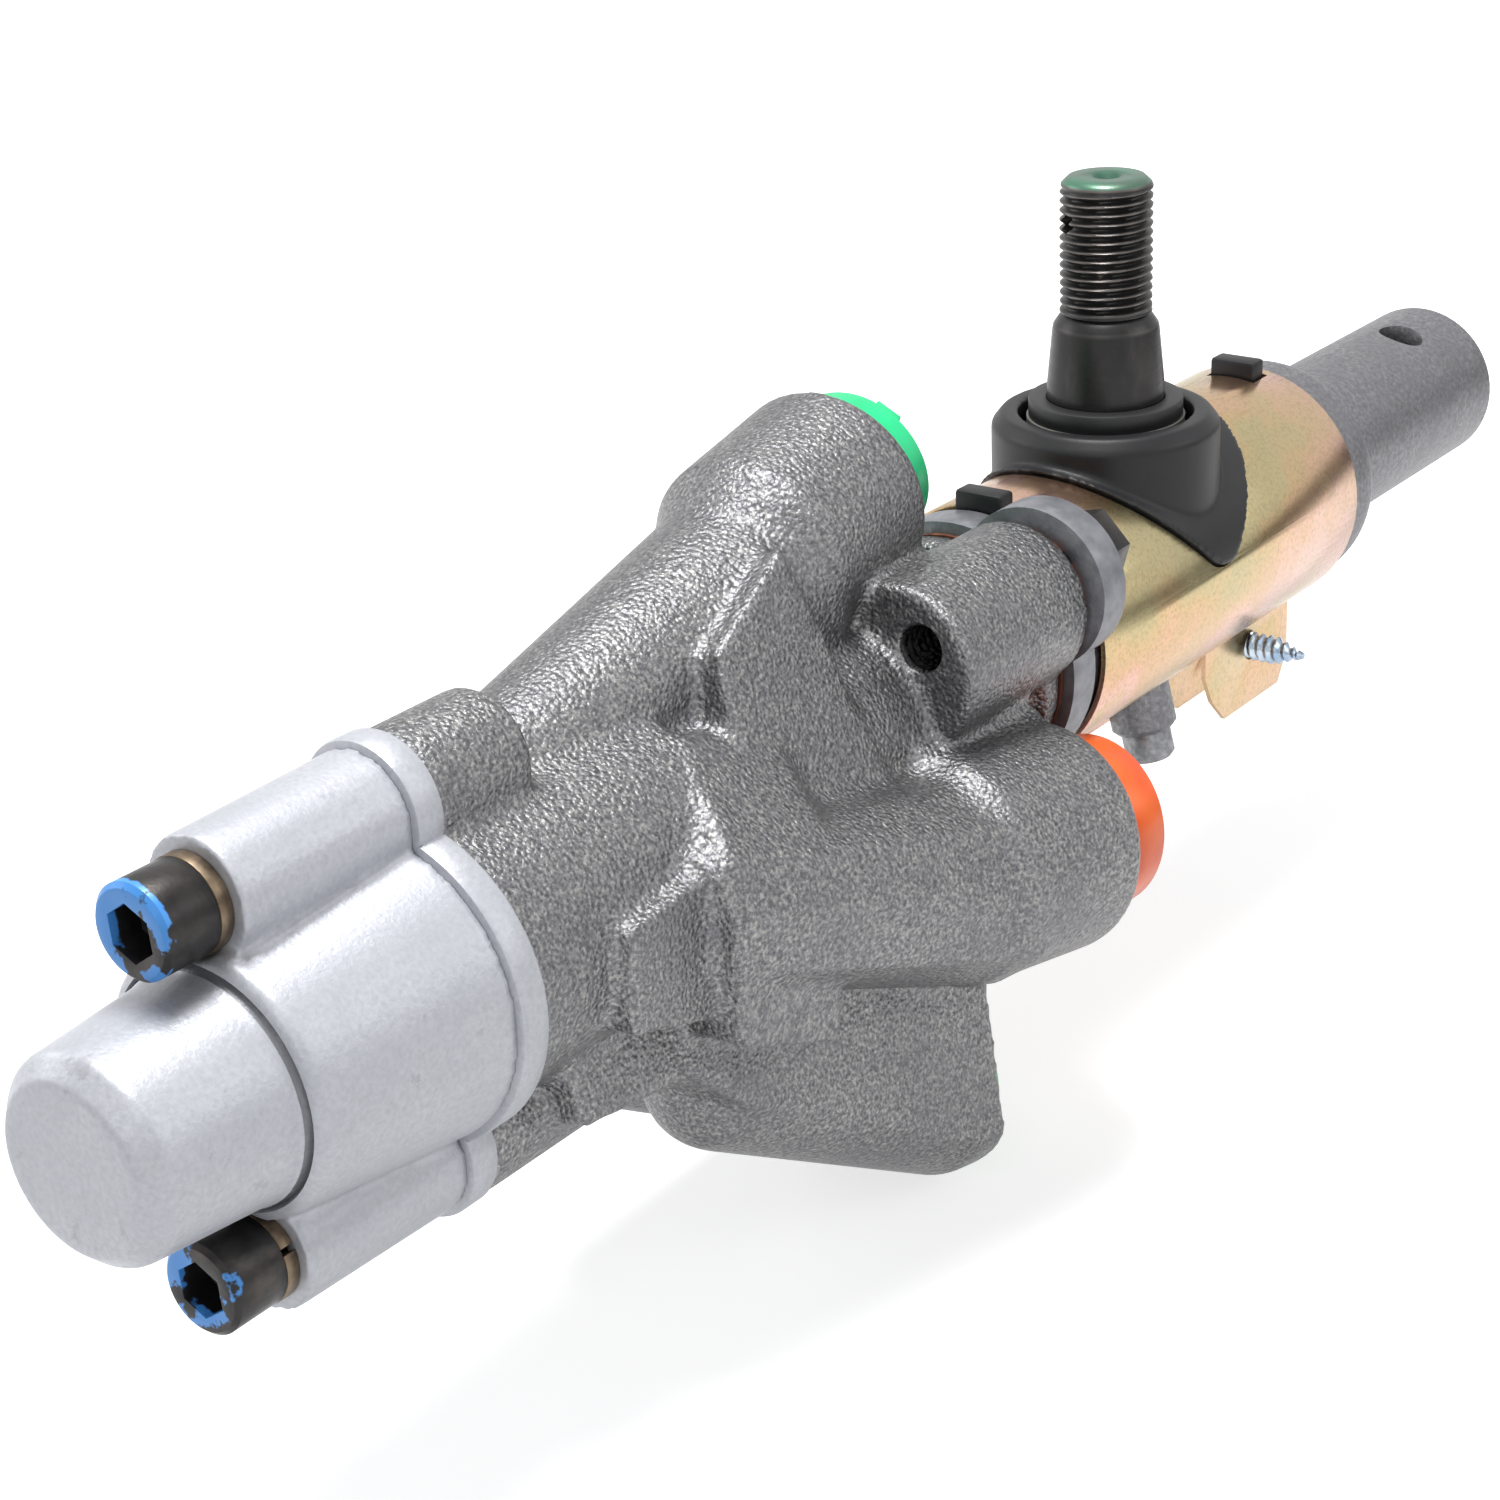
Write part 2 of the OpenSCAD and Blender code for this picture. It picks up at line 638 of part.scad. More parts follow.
// Sleeve: two-bolt flange, barrel, shoulder and link tube in one piece
module sleeve() {
    color("gray") difference() {
        union() {
            two_lobed(x_flange, x_flange_front, barrel_r + 1, lug_r,
                flange_bolt_offset - lug_inset + 3, lug_angle, 16);
            rod_x(x_flange, barrel_end, sleeve_r);
            rod_x(clamp_right + 0.3, barrel_end, clamp_r - clamp_t);
            turned_x([[0, barrel_end - eps], [clamp_r - clamp_t, barrel_end - eps],
                [clamp_r - clamp_t - 1.2, barrel_end + 1.4], [tube_r + 1.6, barrel_end + 8],
                [tube_r + 0.4, barrel_end + 11], [tube_r, barrel_end + 15],
                [tube_r, tube_end - 1], [tube_r - 1, tube_end], [0, tube_end]]);
            at_grease() {
                cylinder(h = grease_boss_end - 0.8, r = grease_boss_r);
                translate([0, 0, grease_boss_end - 0.8 - eps])
                    cylinder(h = 0.8 + eps, r1 = grease_boss_r, r2 = grease_boss_r - 0.8);
            }
        }
        rod_x(x_flange - 1, sleeve_bore_end, sleeve_bore_r);
        rod_x(tube_bore_start, tube_end + 1, tube_bore_r);
        translate([0, 0, 4]) cylinder(h = 30, r = stud_opening_r);
        translate([pin_hole_x, 0, 0]) rotate([pin_hole_tilt, 0, 0])
            cylinder(h = 60, r = pin_hole_r, center = true);
        at_grease() cylinder(h = 60, r = grease_hole_r);
        bolt_pair(lug_angle, flange_bolt_offset) {
            translate([x_flange - 1, 0, 0]) rotate([0, 90, 0])
                cylinder(h = flange_t + 2, r = flange_bolt_r + bolt_gap);
            translate([x_flange_front - spot_face, 0, 0]) rotate([0, 90, 0])
                cylinder(h = hex_height + spot_face + 1, r = hex_r + 0.45);
        }
    }
}
// Puts children on the grease boss's axis: local +Z points out of the boss
module at_grease() {
    translate([grease_x, 0, 0]) on_ray(grease_angle) children();
}

// Hex head bolt from +X, its seat at the local origin
module hex_bolt(shank) {
    rotate([0, -90, 0]) {
        translate([0, 0, -hex_height]) rotate([0, 0, 30]) cylinder(h = hex_height, r = hex_r, $fn = 6);
        translate([0, 0, -eps]) cylinder(h = shank, r = flange_bolt_r);
    }
}

module flange_bolts() {
    color("#26262a") bolt_pair(lug_angle, flange_bolt_offset)
        translate([x_flange_front - spot_face, 0, 0]) hex_bolt(flange_t + gasket_t + flange_thread_length);
}

// Rounded triangle seen from the side: the opening in the clamp, grown by a margin
module window_profile(margin) {
    hull() {
        translate([window_x, window_bottom + window_nose]) circle(r = window_nose + margin, $fn = 32);
        for (side = [-1, 1])
            translate([window_x + side * 22, window_bottom + window_nose + 20])
                circle(r = window_nose + margin, $fn = 32);
    }
}

module window_prism(margin) {
    rotate([90, 0, 0]) linear_extrude(height = 80, center = true) window_profile(margin);
}

// Room for the flange bolt heads in the pieces round the sleeve
module bolt_head_relief() {
    bolt_pair(lug_angle, flange_bolt_offset)
        translate([x_flange_front - 1, 0, 0]) rotate([0, 90, 0]) cylinder(h = hex_height + 2, r = hex_r + 0.9);
}

// Clamp band: thin sleeve with the boot's opening, tab slots and bent screw ears
module boot_clamp() {
    color("#c9a968") difference() {
        union() {
            ring_x(-clamp_left, clamp_right, clamp_r, clamp_r - clamp_t);
            clamp_ears();
        }
        window_prism(0);
        // slots for the boot's tabs
        for (x = tab_stations) translate([x - tab_slot / 2, -tab_w / 2 - 0.4, 15]) cube([tab_slot, tab_w + 0.8, 10]);
        // split between the ears
        translate([-clamp_left - 1, near_ear_y + clamp_t / 2, -40])
            cube([clamp_left + clamp_right + 2, far_ear_y - near_ear_y - clamp_t, 30]);
        // relief round the grease boss
        at_grease() cylinder(h = 40, r = grease_boss_r + 0.5);
        translate([screw_x, 0, screw_z]) rotate([90, 0, 0])
            cylinder(h = 40, r = clamp_screw_r + slip_gap, center = true);
        translate([screw_x, far_ear_y + clamp_t / 2, screw_z]) rotate([-90, 0, 0]) cylinder(h = 6, r = 4.2);
        bolt_head_relief();
    }
}

// One screw ear from its outline in the side view
module clamp_ear(y, outline) {
    translate([0, y + clamp_t / 2, 0]) rotate([90, 0, 0]) linear_extrude(height = clamp_t) polygon(outline);
}

// Screw ears: plates bent out of the band on both sides of the split
module clamp_ears() {
    low = -clamp_r - ear_depth;
    shoulder = -clamp_r - ear_shoulder;
    arm = -clamp_r - arm_depth;
    clamp_ear(near_ear_y, [[ear_left, 2.1 - clamp_r], [ear_right, 2.1 - clamp_r], [ear_right, shoulder],
        [ear_right - 3, low], [ear_left + 7, low], [ear_left + 2.5, shoulder], [ear_left, shoulder + 5]]);
    clamp_ear(far_ear_y, [[arm_left, 0.4 - clamp_r], [ear_right, 0.4 - clamp_r], [ear_right, shoulder],
        [ear_right - 3, low], [ear_left + 7, low], [ear_left, arm], [arm_left + 2, arm], [arm_left, arm + 2]]);
}

// Hex washer head screw through both ears, its point towards the near side
module clamp_screw() {
    head_y = far_ear_y + clamp_t / 2;
    color("#a8b4c0") translate([screw_x, head_y, screw_z]) rotate([90, 0, 0]) {
        translate([0, 0, -screw_head_h]) rotate([0, 0, 30]) cylinder(h = screw_head_h, r = screw_head_r, $fn = 6);
        translate([0, 0, -1]) cylinder(h = 18, r = clamp_screw_r);
        translate([0, 0, 17 - eps]) cylinder(h = 2.5, r1 = clamp_screw_r, r2 = 1);
    }
}

// Rubber boot: saddle under the clamp, thick skirt in its opening and the round collar
module dust_boot() {
    color("#1c1c1e") difference() {
        union() {
            intersection() {
                ring_x(x_flange_front + 0.3, 46.4, clamp_r - clamp_t - slip_gap, sleeve_r + slip_gap);
                translate([-end_block, -end_block, saddle_bottom]) cube(2 * end_block);
            }
            intersection() {
                ring_x(-28, 34, clamp_r + 0.9, sleeve_r + slip_gap);
                window_prism(-0.5);
            }
            difference() {
                union() {
                    cylinder(h = boot_top - 2, r = boot_r);
                    translate([0, 0, boot_top - 2 - eps]) cylinder(h = 2, r1 = boot_r, r2 = boot_r - 1.6);
                }
                rod_x(-40, 40, sleeve_r + slip_gap);
                translate([0, 0, -1]) cube([80, 80, 2 * window_bottom + 12], center = true);
            }
            for (x = tab_stations) difference() {
                translate([x - tab_t / 2, -tab_w / 2, 15]) cube([tab_t, tab_w, tab_top - 15]);
                rod_x(x - 5, x + 5, sleeve_r + slip_gap);
            }
        }
        cylinder(h = 40, r = boot_opening_r);
        cylinder(h = boot_top - 3, r = boot_opening_r + 1.8);
        bolt_head_relief();
    }
}

module grease_plug() {
    color("darkgray") at_grease() translate([0, 0, grease_boss_end]) {
        translate([0, 0, -8]) cylinder(h = 8 + eps, r = grease_hole_r - slip_gap);
        cylinder(h = 4.2, r = 4);
        translate([0, 0, 4.2 - eps]) cylinder(h = 0.8, r1 = 4, r2 = 3.2);
    }
}

module hose_seats() {
    color("goldenrod") for (port = PORTS) at_port(port) translate([0, 0, -port_depth - 5]) difference() {
        union() {
            cylinder(h = 6, r = 4.75);
            translate([0, 0, 6 - eps]) cylinder(h = 3, r1 = 4.75, r2 = 2.4);
        }
        translate([0, 0, -1]) cylinder(h = 12, r = 1.6);
    }
}

// Push-in shipping plug: thin skirt in the port and a domed cap over its face
module port_plug(plug_r, rim, dome) {
    ball = (plug_r * plug_r + dome * dome) / (2 * dome);
    difference() {
        union() {
            translate([0, 0, -plug_skirt]) cylinder(h = plug_skirt + eps, r = port_r - plug_gap);
            cylinder(h = rim + eps, r = plug_r);
            intersection() {
                translate([0, 0, rim]) cylinder(h = dome - plug_flat, r = plug_r);
                translate([0, 0, rim + dome - ball]) sphere(r = ball);
            }
        }
        translate([0, 0, -plug_skirt - 1]) cylinder(h = plug_skirt + 1, r = port_r - plug_wall);
    }
}

module upper_port_plug() {
    color("#1fd07a") at_port(upper_port) {
        port_plug(upper_plug_r, upper_plug_rim, upper_plug_dome);
        rotate([0, 0, plug_tab_angle]) translate([plug_tab_x, -plug_tab[1] / 2, upper_plug_rim]) cube(plug_tab);
    }
}

module near_port_plug() {
    color("#ff6a1a") at_port(near_port) port_plug(near_plug_r, near_plug_rim, near_plug_dome);
}

module lower_port_plugs() {
    color("#1fd07a") at_port(wing_port) port_plug(lower_plug_r, lower_plug_rim, lower_plug_dome);
    color("#ff6a1a") at_port(far_port) port_plug(lower_plug_r, lower_plug_rim, lower_plug_dome);
}

// Spool: three lands with oil grooves between them and a stem to the ball joint
module spool() {
    land = 11;
    color("slategray") difference() {
        union() {
            rod_x(spool_left, spool_right, spool_waist_r);
            for (x = [spool_left, -112 - land / 2, spool_right - land])
                rod_x(x, x + land, spool_land_r);
            rod_x(spool_right - eps, socket_left, spool_stem_r);
        }
        rod_x(spool_left - 1, socket_left + 1, spool_hole_r);
    }
}

module centring_bolt() {
    color("dimgray") {
        rod_x(outer_washer_x - nut_length - 3, stop_head_x, bolt_r);
        translate([stop_head_x, 0, 0]) rotate([0, 90, 0]) cylinder(h = bolt_head_length, r = bolt_head_r, $fn = 6);
    }
}

module lock_nut() {
    color("#8a8a80") translate([outer_washer_x - nut_length, 0, 0]) rotate([0, 90, 0]) difference() {
        union() {
            cylinder(h = nut_length, r = nut_r, $fn = 6);
            cylinder(h = 2, r = nut_r * cos(30));
        }
        translate([0, 0, -1]) cylinder(h = nut_length + 2, r = bolt_r + slip_gap);
    }
}

module outer_spring_washer() {
    color("gray") ring_x(outer_washer_x, outer_washer_x + washer_thickness, spring_washer_r, bolt_r + slip_gap);
}

module inner_spring_washer() {
    color("gray") ring_x(inner_washer_x, inner_washer_x + washer_thickness, spring_washer_r, bolt_r + slip_gap);
}

module spring_spacer() {
    color("darkgray") ring_x(outer_washer_x + washer_thickness, inner_washer_x, 6, bolt_r + slip_gap);
}

module push_sleeve() {
    color("darkgray") ring_x(inner_washer_x + washer_thickness, spool_left, sleeve_stem_r, bolt_r + slip_gap);
}

// Round wire wound round the valve axis with flat closed ends
module wound_spring(x0, x1, mean_r, wire_r, turns) {
    steps = 18;
    sides = 8;
    rise = x1 - x0 - 2 * wire_r;
    count = floor(turns * steps);
    ring = [for (i = [0 : count], j = [0 : sides - 1])
        let (t = i / count,
            lift = rise * min(1, max(0, (t - 0.1) / 0.8)),
            a = i * 360 / steps, b = j * 360 / sides, r = mean_r + wire_r * cos(b))
        [x0 + wire_r + lift + wire_r * sin(b), r * cos(a), r * sin(a)]];
    faces = concat(
        [for (i = [0 : count - 1], j = [0 : sides - 1])
            let (k = (j + 1) % sides)
            [i * sides + j, i * sides + k, (i + 1) * sides + k, (i + 1) * sides + j]],
        [[for (j = [sides - 1 : -1 : 0]) j]],
        [[for (j = [0 : sides - 1]) count * sides + j]]);
    polyhedron(points = ring, faces = faces, convexity = 8);
}

module centring_spring() {
    color("#50585c") wound_spring(outer_washer_x + washer_thickness, inner_washer_x,
        spring_r - spring_wire_r, spring_wire_r, spring_turns);
}

module travel_stop() {
    color("gray") difference() {
        rod_x(socket_left, stop_head_x, seat_r);
        rod_x(socket_left - 1, stop_head_x + 1, bolt_r + slip_gap);
        translate([socket_left + stop_length / 2, 0, 0]) cylinder(h = 40, r = 1.5);
    }
}

module stop_pin() {
    color("darkgray") translate([socket_left + stop_length / 2, 0, bolt_r + 1.2])
        cylinder(h = socket_r - bolt_r - 2, r = 1.46);
}

module ball_socket() {
    color("slategray") difference() {
        rod_x(socket_left, seat_outer + socket_end_wall, socket_r);
        rod_x(socket_left - 1, seat_outer, socket_bore_r);
        cylinder(h = 30, r = socket_opening_r);
        rod_x(seat_outer - 1, seat_outer + socket_end_wall + 1, 3);
        translate([socket_left + stop_length / 2, 0, 8]) cylinder(h = 20, r = 1.5);
    }
}

// Ball seat facing +X, with the ball's cup and a grease hole
module ball_seat() {
    difference() {
        rod_x(seat_face, seat_outer, seat_r);
        sphere(r = ball_r + 0.05);
        rod_x(seat_face - 1, seat_outer + 1, seat_hole_r);
    }
}

module outer_ball_seat() {
    color("darkkhaki") ball_seat();
}

module inner_ball_seat() {
    color("darkkhaki") mirror([1, 0, 0]) ball_seat();
}

module bumper() {
    bumper_x = stop_head_x + bolt_head_length;
    color("#202020") ring_x(bumper_x, bumper_x + bumper_length, seat_r - 0.3, 3.4);
}

module seat_spring() {
    color("#50585c") wound_spring(stop_head_x + bolt_head_length + bumper_length, -seat_outer, 9.6, 1.3, 2.5);
}

module felt_ring() {
    color("#b8b6ae") difference() {
        translate([0, 0, washer_z - 1.8]) cylinder(h = 1.8, r = washer_r + 0.3);
        translate([0, 0, washer_z - 3]) cylinder(h = 4, r = taper_r + 0.1);
    }
}

module stud_washer() {
    color("#202022") difference() {
        translate([0, 0, washer_z]) cylinder(h = washer_t, r = washer_r);
        translate([0, 0, washer_z - 1]) cylinder(h = washer_t + 2, r = taper_r + 0.05);
    }
}

module ball_stud() {
    taper_z = washer_z + washer_t + 2;
    color("#242428") difference() {
        union() {
            sphere(r = ball_r);
            cylinder(h = 18, r = neck_r);
            translate([0, 0, 18 - eps]) cylinder(h = 3, r1 = neck_r, r2 = taper_r);
            translate([0, 0, 21 - 2 * eps]) cylinder(h = taper_z - 21 + 2 * eps, r = taper_r);
            translate([0, 0, taper_z]) cylinder(h = stud_shoulder - taper_z, r1 = taper_r, r2 = taper_top_r);
            translate([0, 0, stud_shoulder - eps]) cylinder(h = 1.9, r1 = taper_top_r, r2 = stud_thread_r - 0.5);
            translate([0, 0, stud_shoulder]) cylinder(h = 2.4, r = stud_thread_r - 0.5);
            translate([0, 0, stud_shoulder + 2.4 - eps])
                cylinder(h = stud_top - stud_shoulder - 3.7 + eps, r = stud_thread_r);
            translate([0, 0, stud_top - 1.3 - eps])
                cylinder(h = 1.3 + eps, r1 = stud_thread_r, r2 = stud_thread_r - 1.25);
        }
        translate([0, 0, stud_top - 6.6]) rotate([0, 90, 145]) cylinder(h = 30, r = cotter_r, center = true);
        translate([0, 0, stud_top - 1.6]) cylinder(h = 2, r1 = 0.2, r2 = 2.2);
    }
}

valve_housing();
adapter_plate();
spring_cap();
cap_screws();
cap_lock_washers();
adapter_bushing();
adapter_seal();
spool_end_seal();
flange_gasket();
sleeve();
flange_bolts();
boot_clamp();
clamp_screw();
dust_boot();
grease_plug();
hose_seats();
upper_port_plug();
near_port_plug();
lower_port_plugs();
spool();
centring_bolt();
lock_nut();
outer_spring_washer();
inner_spring_washer();
spring_spacer();
push_sleeve();
centring_spring();
travel_stop();
stop_pin();
ball_socket();
inner_ball_seat();
outer_ball_seat();
seat_spring();
bumper();
felt_ring();
stud_washer();
ball_stud();
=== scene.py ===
"""Looks of the power steering control valve: cast housing, silver cap, zinc clamp, rubber boot and ball stud."""
import bmesh
import bpy
import math
from mathutils import Matrix, Vector


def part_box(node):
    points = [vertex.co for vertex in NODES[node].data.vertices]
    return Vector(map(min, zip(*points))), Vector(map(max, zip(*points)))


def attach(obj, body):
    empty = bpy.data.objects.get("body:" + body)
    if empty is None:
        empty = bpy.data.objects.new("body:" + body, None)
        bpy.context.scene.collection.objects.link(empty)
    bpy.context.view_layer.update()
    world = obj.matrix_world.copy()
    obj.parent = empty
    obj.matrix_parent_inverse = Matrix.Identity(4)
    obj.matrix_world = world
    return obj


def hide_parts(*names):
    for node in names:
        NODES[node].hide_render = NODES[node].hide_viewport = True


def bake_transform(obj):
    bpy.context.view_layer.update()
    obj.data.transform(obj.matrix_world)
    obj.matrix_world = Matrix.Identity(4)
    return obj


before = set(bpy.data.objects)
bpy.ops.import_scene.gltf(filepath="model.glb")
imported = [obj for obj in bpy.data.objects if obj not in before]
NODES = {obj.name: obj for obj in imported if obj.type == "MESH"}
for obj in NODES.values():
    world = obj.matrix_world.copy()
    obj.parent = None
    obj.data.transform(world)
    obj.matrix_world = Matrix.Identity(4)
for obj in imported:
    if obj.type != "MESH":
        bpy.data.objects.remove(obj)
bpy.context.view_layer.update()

MM = 0.001
ALONG_X = Matrix.Rotation(math.radians(90), 4, "Y")

# Sizes in millimetres, as in the part's source
LUG_ANGLE = math.radians(136)
LUG_OFFSET = 20.8
LUG_HOLES = [(side * LUG_OFFSET * math.cos(LUG_ANGLE), side * LUG_OFFSET * math.sin(LUG_ANGLE)) for side in (1, -1)]
LUG_HOLE_R = 3.97
LUG_FACE = -75.6
FLANGE_FACE = -44.6
STOP_BORE_R = 16.05
STOP_BORE_DEPTH = 11
CAP_DOME_LENGTH = 21.4
BALL_R = 12.7
STUD_THREAD_R = 7.14
THREAD_PITCH = 1.411
BOOT_TABS = (-35.4, 43.2)
BOOT_TAB_SIZE = (4, 8, 4.4)
BOOT_TAB_MIDDLE = 21
SADDLE_TOP = 19.8


# Colours and shader nodes


def srgb(code):
    """Linear colour of an sRGB hex code."""
    parts = [int(code[i : i + 2], 16) / 255 for i in (1, 3, 5)]
    return [c / 12.92 if c <= 0.04045 else ((c + 0.055) / 1.055) ** 2.4 for c in parts] + [1.0]


def feed(tree, node, inputs):
    """Sets or links a node's inputs, each written as its name with _ for a space, or as i and its number."""
    for key, value in inputs.items():
        socket = node.inputs[int(key[1:])] if key[1:].isdigit() else node.inputs[key.replace("_", " ")]
        if isinstance(value, bpy.types.Node):
            value = next(out for out in value.outputs if out.enabled)
        if isinstance(value, bpy.types.NodeSocket):
            tree.links.new(value, socket)
        else:
            socket.default_value = srgb(value) if isinstance(value, str) else value


def add(tree, kind, settings=(), stops=(), **inputs):
    """Adds a shader node with its settings, its colour stops, and a value or a link for each input named."""
    node = tree.nodes.new("ShaderNode" + kind)
    for key, value in dict(settings).items():
        setattr(node, key, value)
    for number, (place, code) in enumerate(stops):
        stops_so_far = node.color_ramp.elements
        stop = stops_so_far[number] if number < 2 else stops_so_far.new(place)
        stop.position = place
        stop.color = srgb(code)
    feed(tree, node, inputs)
    return node


def blank(name):
    """New material, its node tree and its object coordinates in metres."""
    material = bpy.data.materials.new(name)
    material.use_nodes = True
    return material, material.node_tree, add(material.node_tree, "TexCoord").outputs["Object"]


def shade(material, **inputs):
    """Sets or links the inputs of the material's own shader."""
    feed(material.node_tree, material.node_tree.nodes["Principled BSDF"], inputs)
    return material


TINTS = {"data_type": "RGBA", "clamp_result": True}


# Finishes of the outside


def cast_iron():
    """Grit-blasted grey iron casting: fine rounded grains under 1 mm that sparkle where they face a lamp."""
    material, tree, at = blank("grit_blasted_cast_iron")
    swell = add(tree, "TexNoise", Vector=at, Scale=1 / (1.7 * MM), Detail=2)
    beads = add(tree, "TexVoronoi", {"feature": "SMOOTH_F1"}, Vector=at, Scale=1 / (0.72 * MM), Smoothness=0.4)
    grit = add(tree, "TexNoise", Vector=at, Scale=1 / (0.55 * MM), Detail=3, Roughness=0.6)
    metal = add(tree, "ValToRGB", i0=grit, stops=((0.34, "#58585a"), (0.5, "#78787a"), (0.68, "#a3a29e")))
    patches = add(tree, "TexNoise", Vector=at, Scale=1 / (16 * MM), Detail=3)
    color = add(tree, "Mix", TINTS, i0=add(tree, "MapRange", Value=patches, i1=0.4, i2=0.7, i4=0.4), i6=metal,
                i7="#66666a")
    # painted shade inside the tapped holes of the lugs: their bores are darkened where shade falls
    for y, z in LUG_HOLES:
        off = add(tree, "VectorMath", {"operation": "MULTIPLY_ADD"}, i0=at, i1=(0, 1, 1), i2=(0, -y * MM, -z * MM))
        reach = add(tree, "VectorMath", {"operation": "LENGTH"}, i0=off).outputs["Value"]
        bore = add(tree, "Math", {"operation": "LESS_THAN"}, i0=reach, i1=(LUG_HOLE_R + 0.03) * MM)
        past = add(tree, "MapRange", Value=add(tree, "SeparateXYZ", Vector=at).outputs["X"], i1=LUG_FACE * MM,
                   i2=(LUG_FACE + 1.5) * MM)
        painted_bore_shade = add(tree, "Math", {"operation": "MULTIPLY"}, i0=bore, i1=past)
        color = add(tree, "Mix", TINTS, i0=painted_bore_shade, i6=color, i7="#1d1c1d")
    lumps = add(tree, "Bump", Height=swell, Distance=0.13 * MM)
    beaded = add(tree, "Bump", {"invert": True}, Height=beads, Distance=0.2 * MM, Normal=lumps)
    fine = add(tree, "Bump", Height=grit, Distance=0.16 * MM, Normal=beaded)
    rough = add(tree, "MapRange", Value=grit, i3=0.36, i4=0.48)
    return shade(material, Base_Color=color, Roughness=rough, Metallic=0.9, Normal=fine)


def silver_casting():
    """Aluminium casting sprayed with silver paint: a pale satin skin with a fine grain, and painted shade in its
    creases.
    """
    material, tree, at = blank("silver_painted_casting")
    grain = add(tree, "TexNoise", Vector=at, Scale=1 / (0.7 * MM), Detail=3, Roughness=0.6)
    skin = add(tree, "ValToRGB", i0=grain, stops=((0.3, "#b3b5bb"), (0.7, "#c4c6cb")))
    clouds = add(tree, "TexNoise", Vector=at, Scale=1 / (15 * MM), Detail=4)
    cloudy = add(tree, "Mix", TINTS, i0=add(tree, "MapRange", Value=clouds, i1=0.35, i2=0.7, i4=0.5), i6=skin,
                 i7="#b0b2b9")
    # greyer rub marks on a few high spots
    marks = add(tree, "TexNoise", Vector=at, Scale=1 / (5 * MM), Detail=5, Roughness=0.7)
    marked = add(tree, "Mix", TINTS, i0=add(tree, "MapRange", Value=marks, i1=0.64, i2=0.68, i4=0.3), i6=cloudy,
                 i7="#85878b")
    # painted shade: the skin is darkened where it bends inwards, in its creases
    curve = add(tree, "NewGeometry").outputs["Pointiness"]
    painted_crease_shade = add(tree, "MapRange", Value=curve, i1=0.49, i2=0.42, i4=0.7)
    color = add(tree, "Mix", TINTS, i0=painted_crease_shade, i6=marked, i7="#57585c")
    swell = add(tree, "Bump", Height=add(tree, "TexNoise", Vector=at, Scale=1 / (3.2 * MM), Detail=2),
                Distance=0.05 * MM)
    satin = add(tree, "Bump", Height=grain, Distance=0.06 * MM, Normal=swell)
    return shade(material, Base_Color=color, Roughness=add(tree, "MapRange", Value=grain, i3=0.5, i4=0.38),
                 Metallic=0.35, Normal=satin)


def blasted_steel():
    """Sleeve of turned steel, blasted to an even mid grey; the flange is machined smoother and a little lighter."""
    material, tree, at = blank("blasted_turned_steel")
    grain = add(tree, "TexNoise", Vector=at, Scale=1 / (0.8 * MM), Detail=4, Roughness=0.65)
    blasted = add(tree, "ValToRGB", i0=grain, stops=((0.28, "#5f5e61"), (0.5, "#7a797c"), (0.74, "#9a999c")))
    clouds = add(tree, "TexNoise", Vector=at, Scale=1 / (11 * MM), Detail=3)
    cloudy = add(tree, "Mix", TINTS, i0=add(tree, "MapRange", Value=clouds, i1=0.35, i2=0.7, i4=0.5), i6=blasted,
                 i7="#727175")
    smears = add(tree, "TexNoise", Vector=at, Scale=1 / (2.5 * MM), Detail=3)
    cut = add(tree, "ValToRGB", i0=smears, stops=((0.35, "#77787d"), (0.65, "#8b8c91")))
    along = add(tree, "SeparateXYZ", Vector=at).outputs["X"]
    flange = add(tree, "Math", {"operation": "LESS_THAN"}, i0=along, i1=-37.5 * MM)
    color = add(tree, "Mix", TINTS, i0=flange, i6=cloudy, i7=cut)
    return shade(material, Base_Color=color, Roughness=add(tree, "MapRange", Value=grain, i3=0.52, i4=0.4),
                 Metallic=0.7, Normal=add(tree, "Bump", Height=grain, Distance=0.09 * MM))


def phosphate_steel():
    """Grease plug of zinc-phosphated steel: an even grey with a dry grain."""
    material, tree, at = blank("grey_phosphate_steel")
    grain = add(tree, "TexNoise", Vector=at, Scale=1 / (0.9 * MM), Detail=3)
    return shade(material, Base_Color=add(tree, "ValToRGB", i0=grain, stops=((0.3, "#77787b"), (0.7, "#a0a1a4"))),
                 Roughness=0.45, Metallic=0.7, Normal=add(tree, "Bump", Height=grain, Distance=0.06 * MM))


def black_oxide():
    """Black oxide steel of bolts: near black and slightly brown, with a semi-gloss oil film."""
    material, tree, at = blank("black_oxide_steel")
    streaks = add(tree, "TexNoise", Vector=at, Scale=1 / (5 * MM), Detail=4)
    fine = add(tree, "TexNoise", Vector=at, Scale=1 / (0.6 * MM), Detail=3)
    color = add(tree, "ValToRGB", i0=streaks, stops=((0.3, "#252425"), (0.55, "#343231"), (0.75, "#4a4542")))
    return shade(material, Base_Color=color, Roughness=add(tree, "MapRange", Value=fine, i3=0.44, i4=0.28),
                 Metallic=0.75, Normal=add(tree, "Bump", Height=fine, Distance=0.03 * MM))


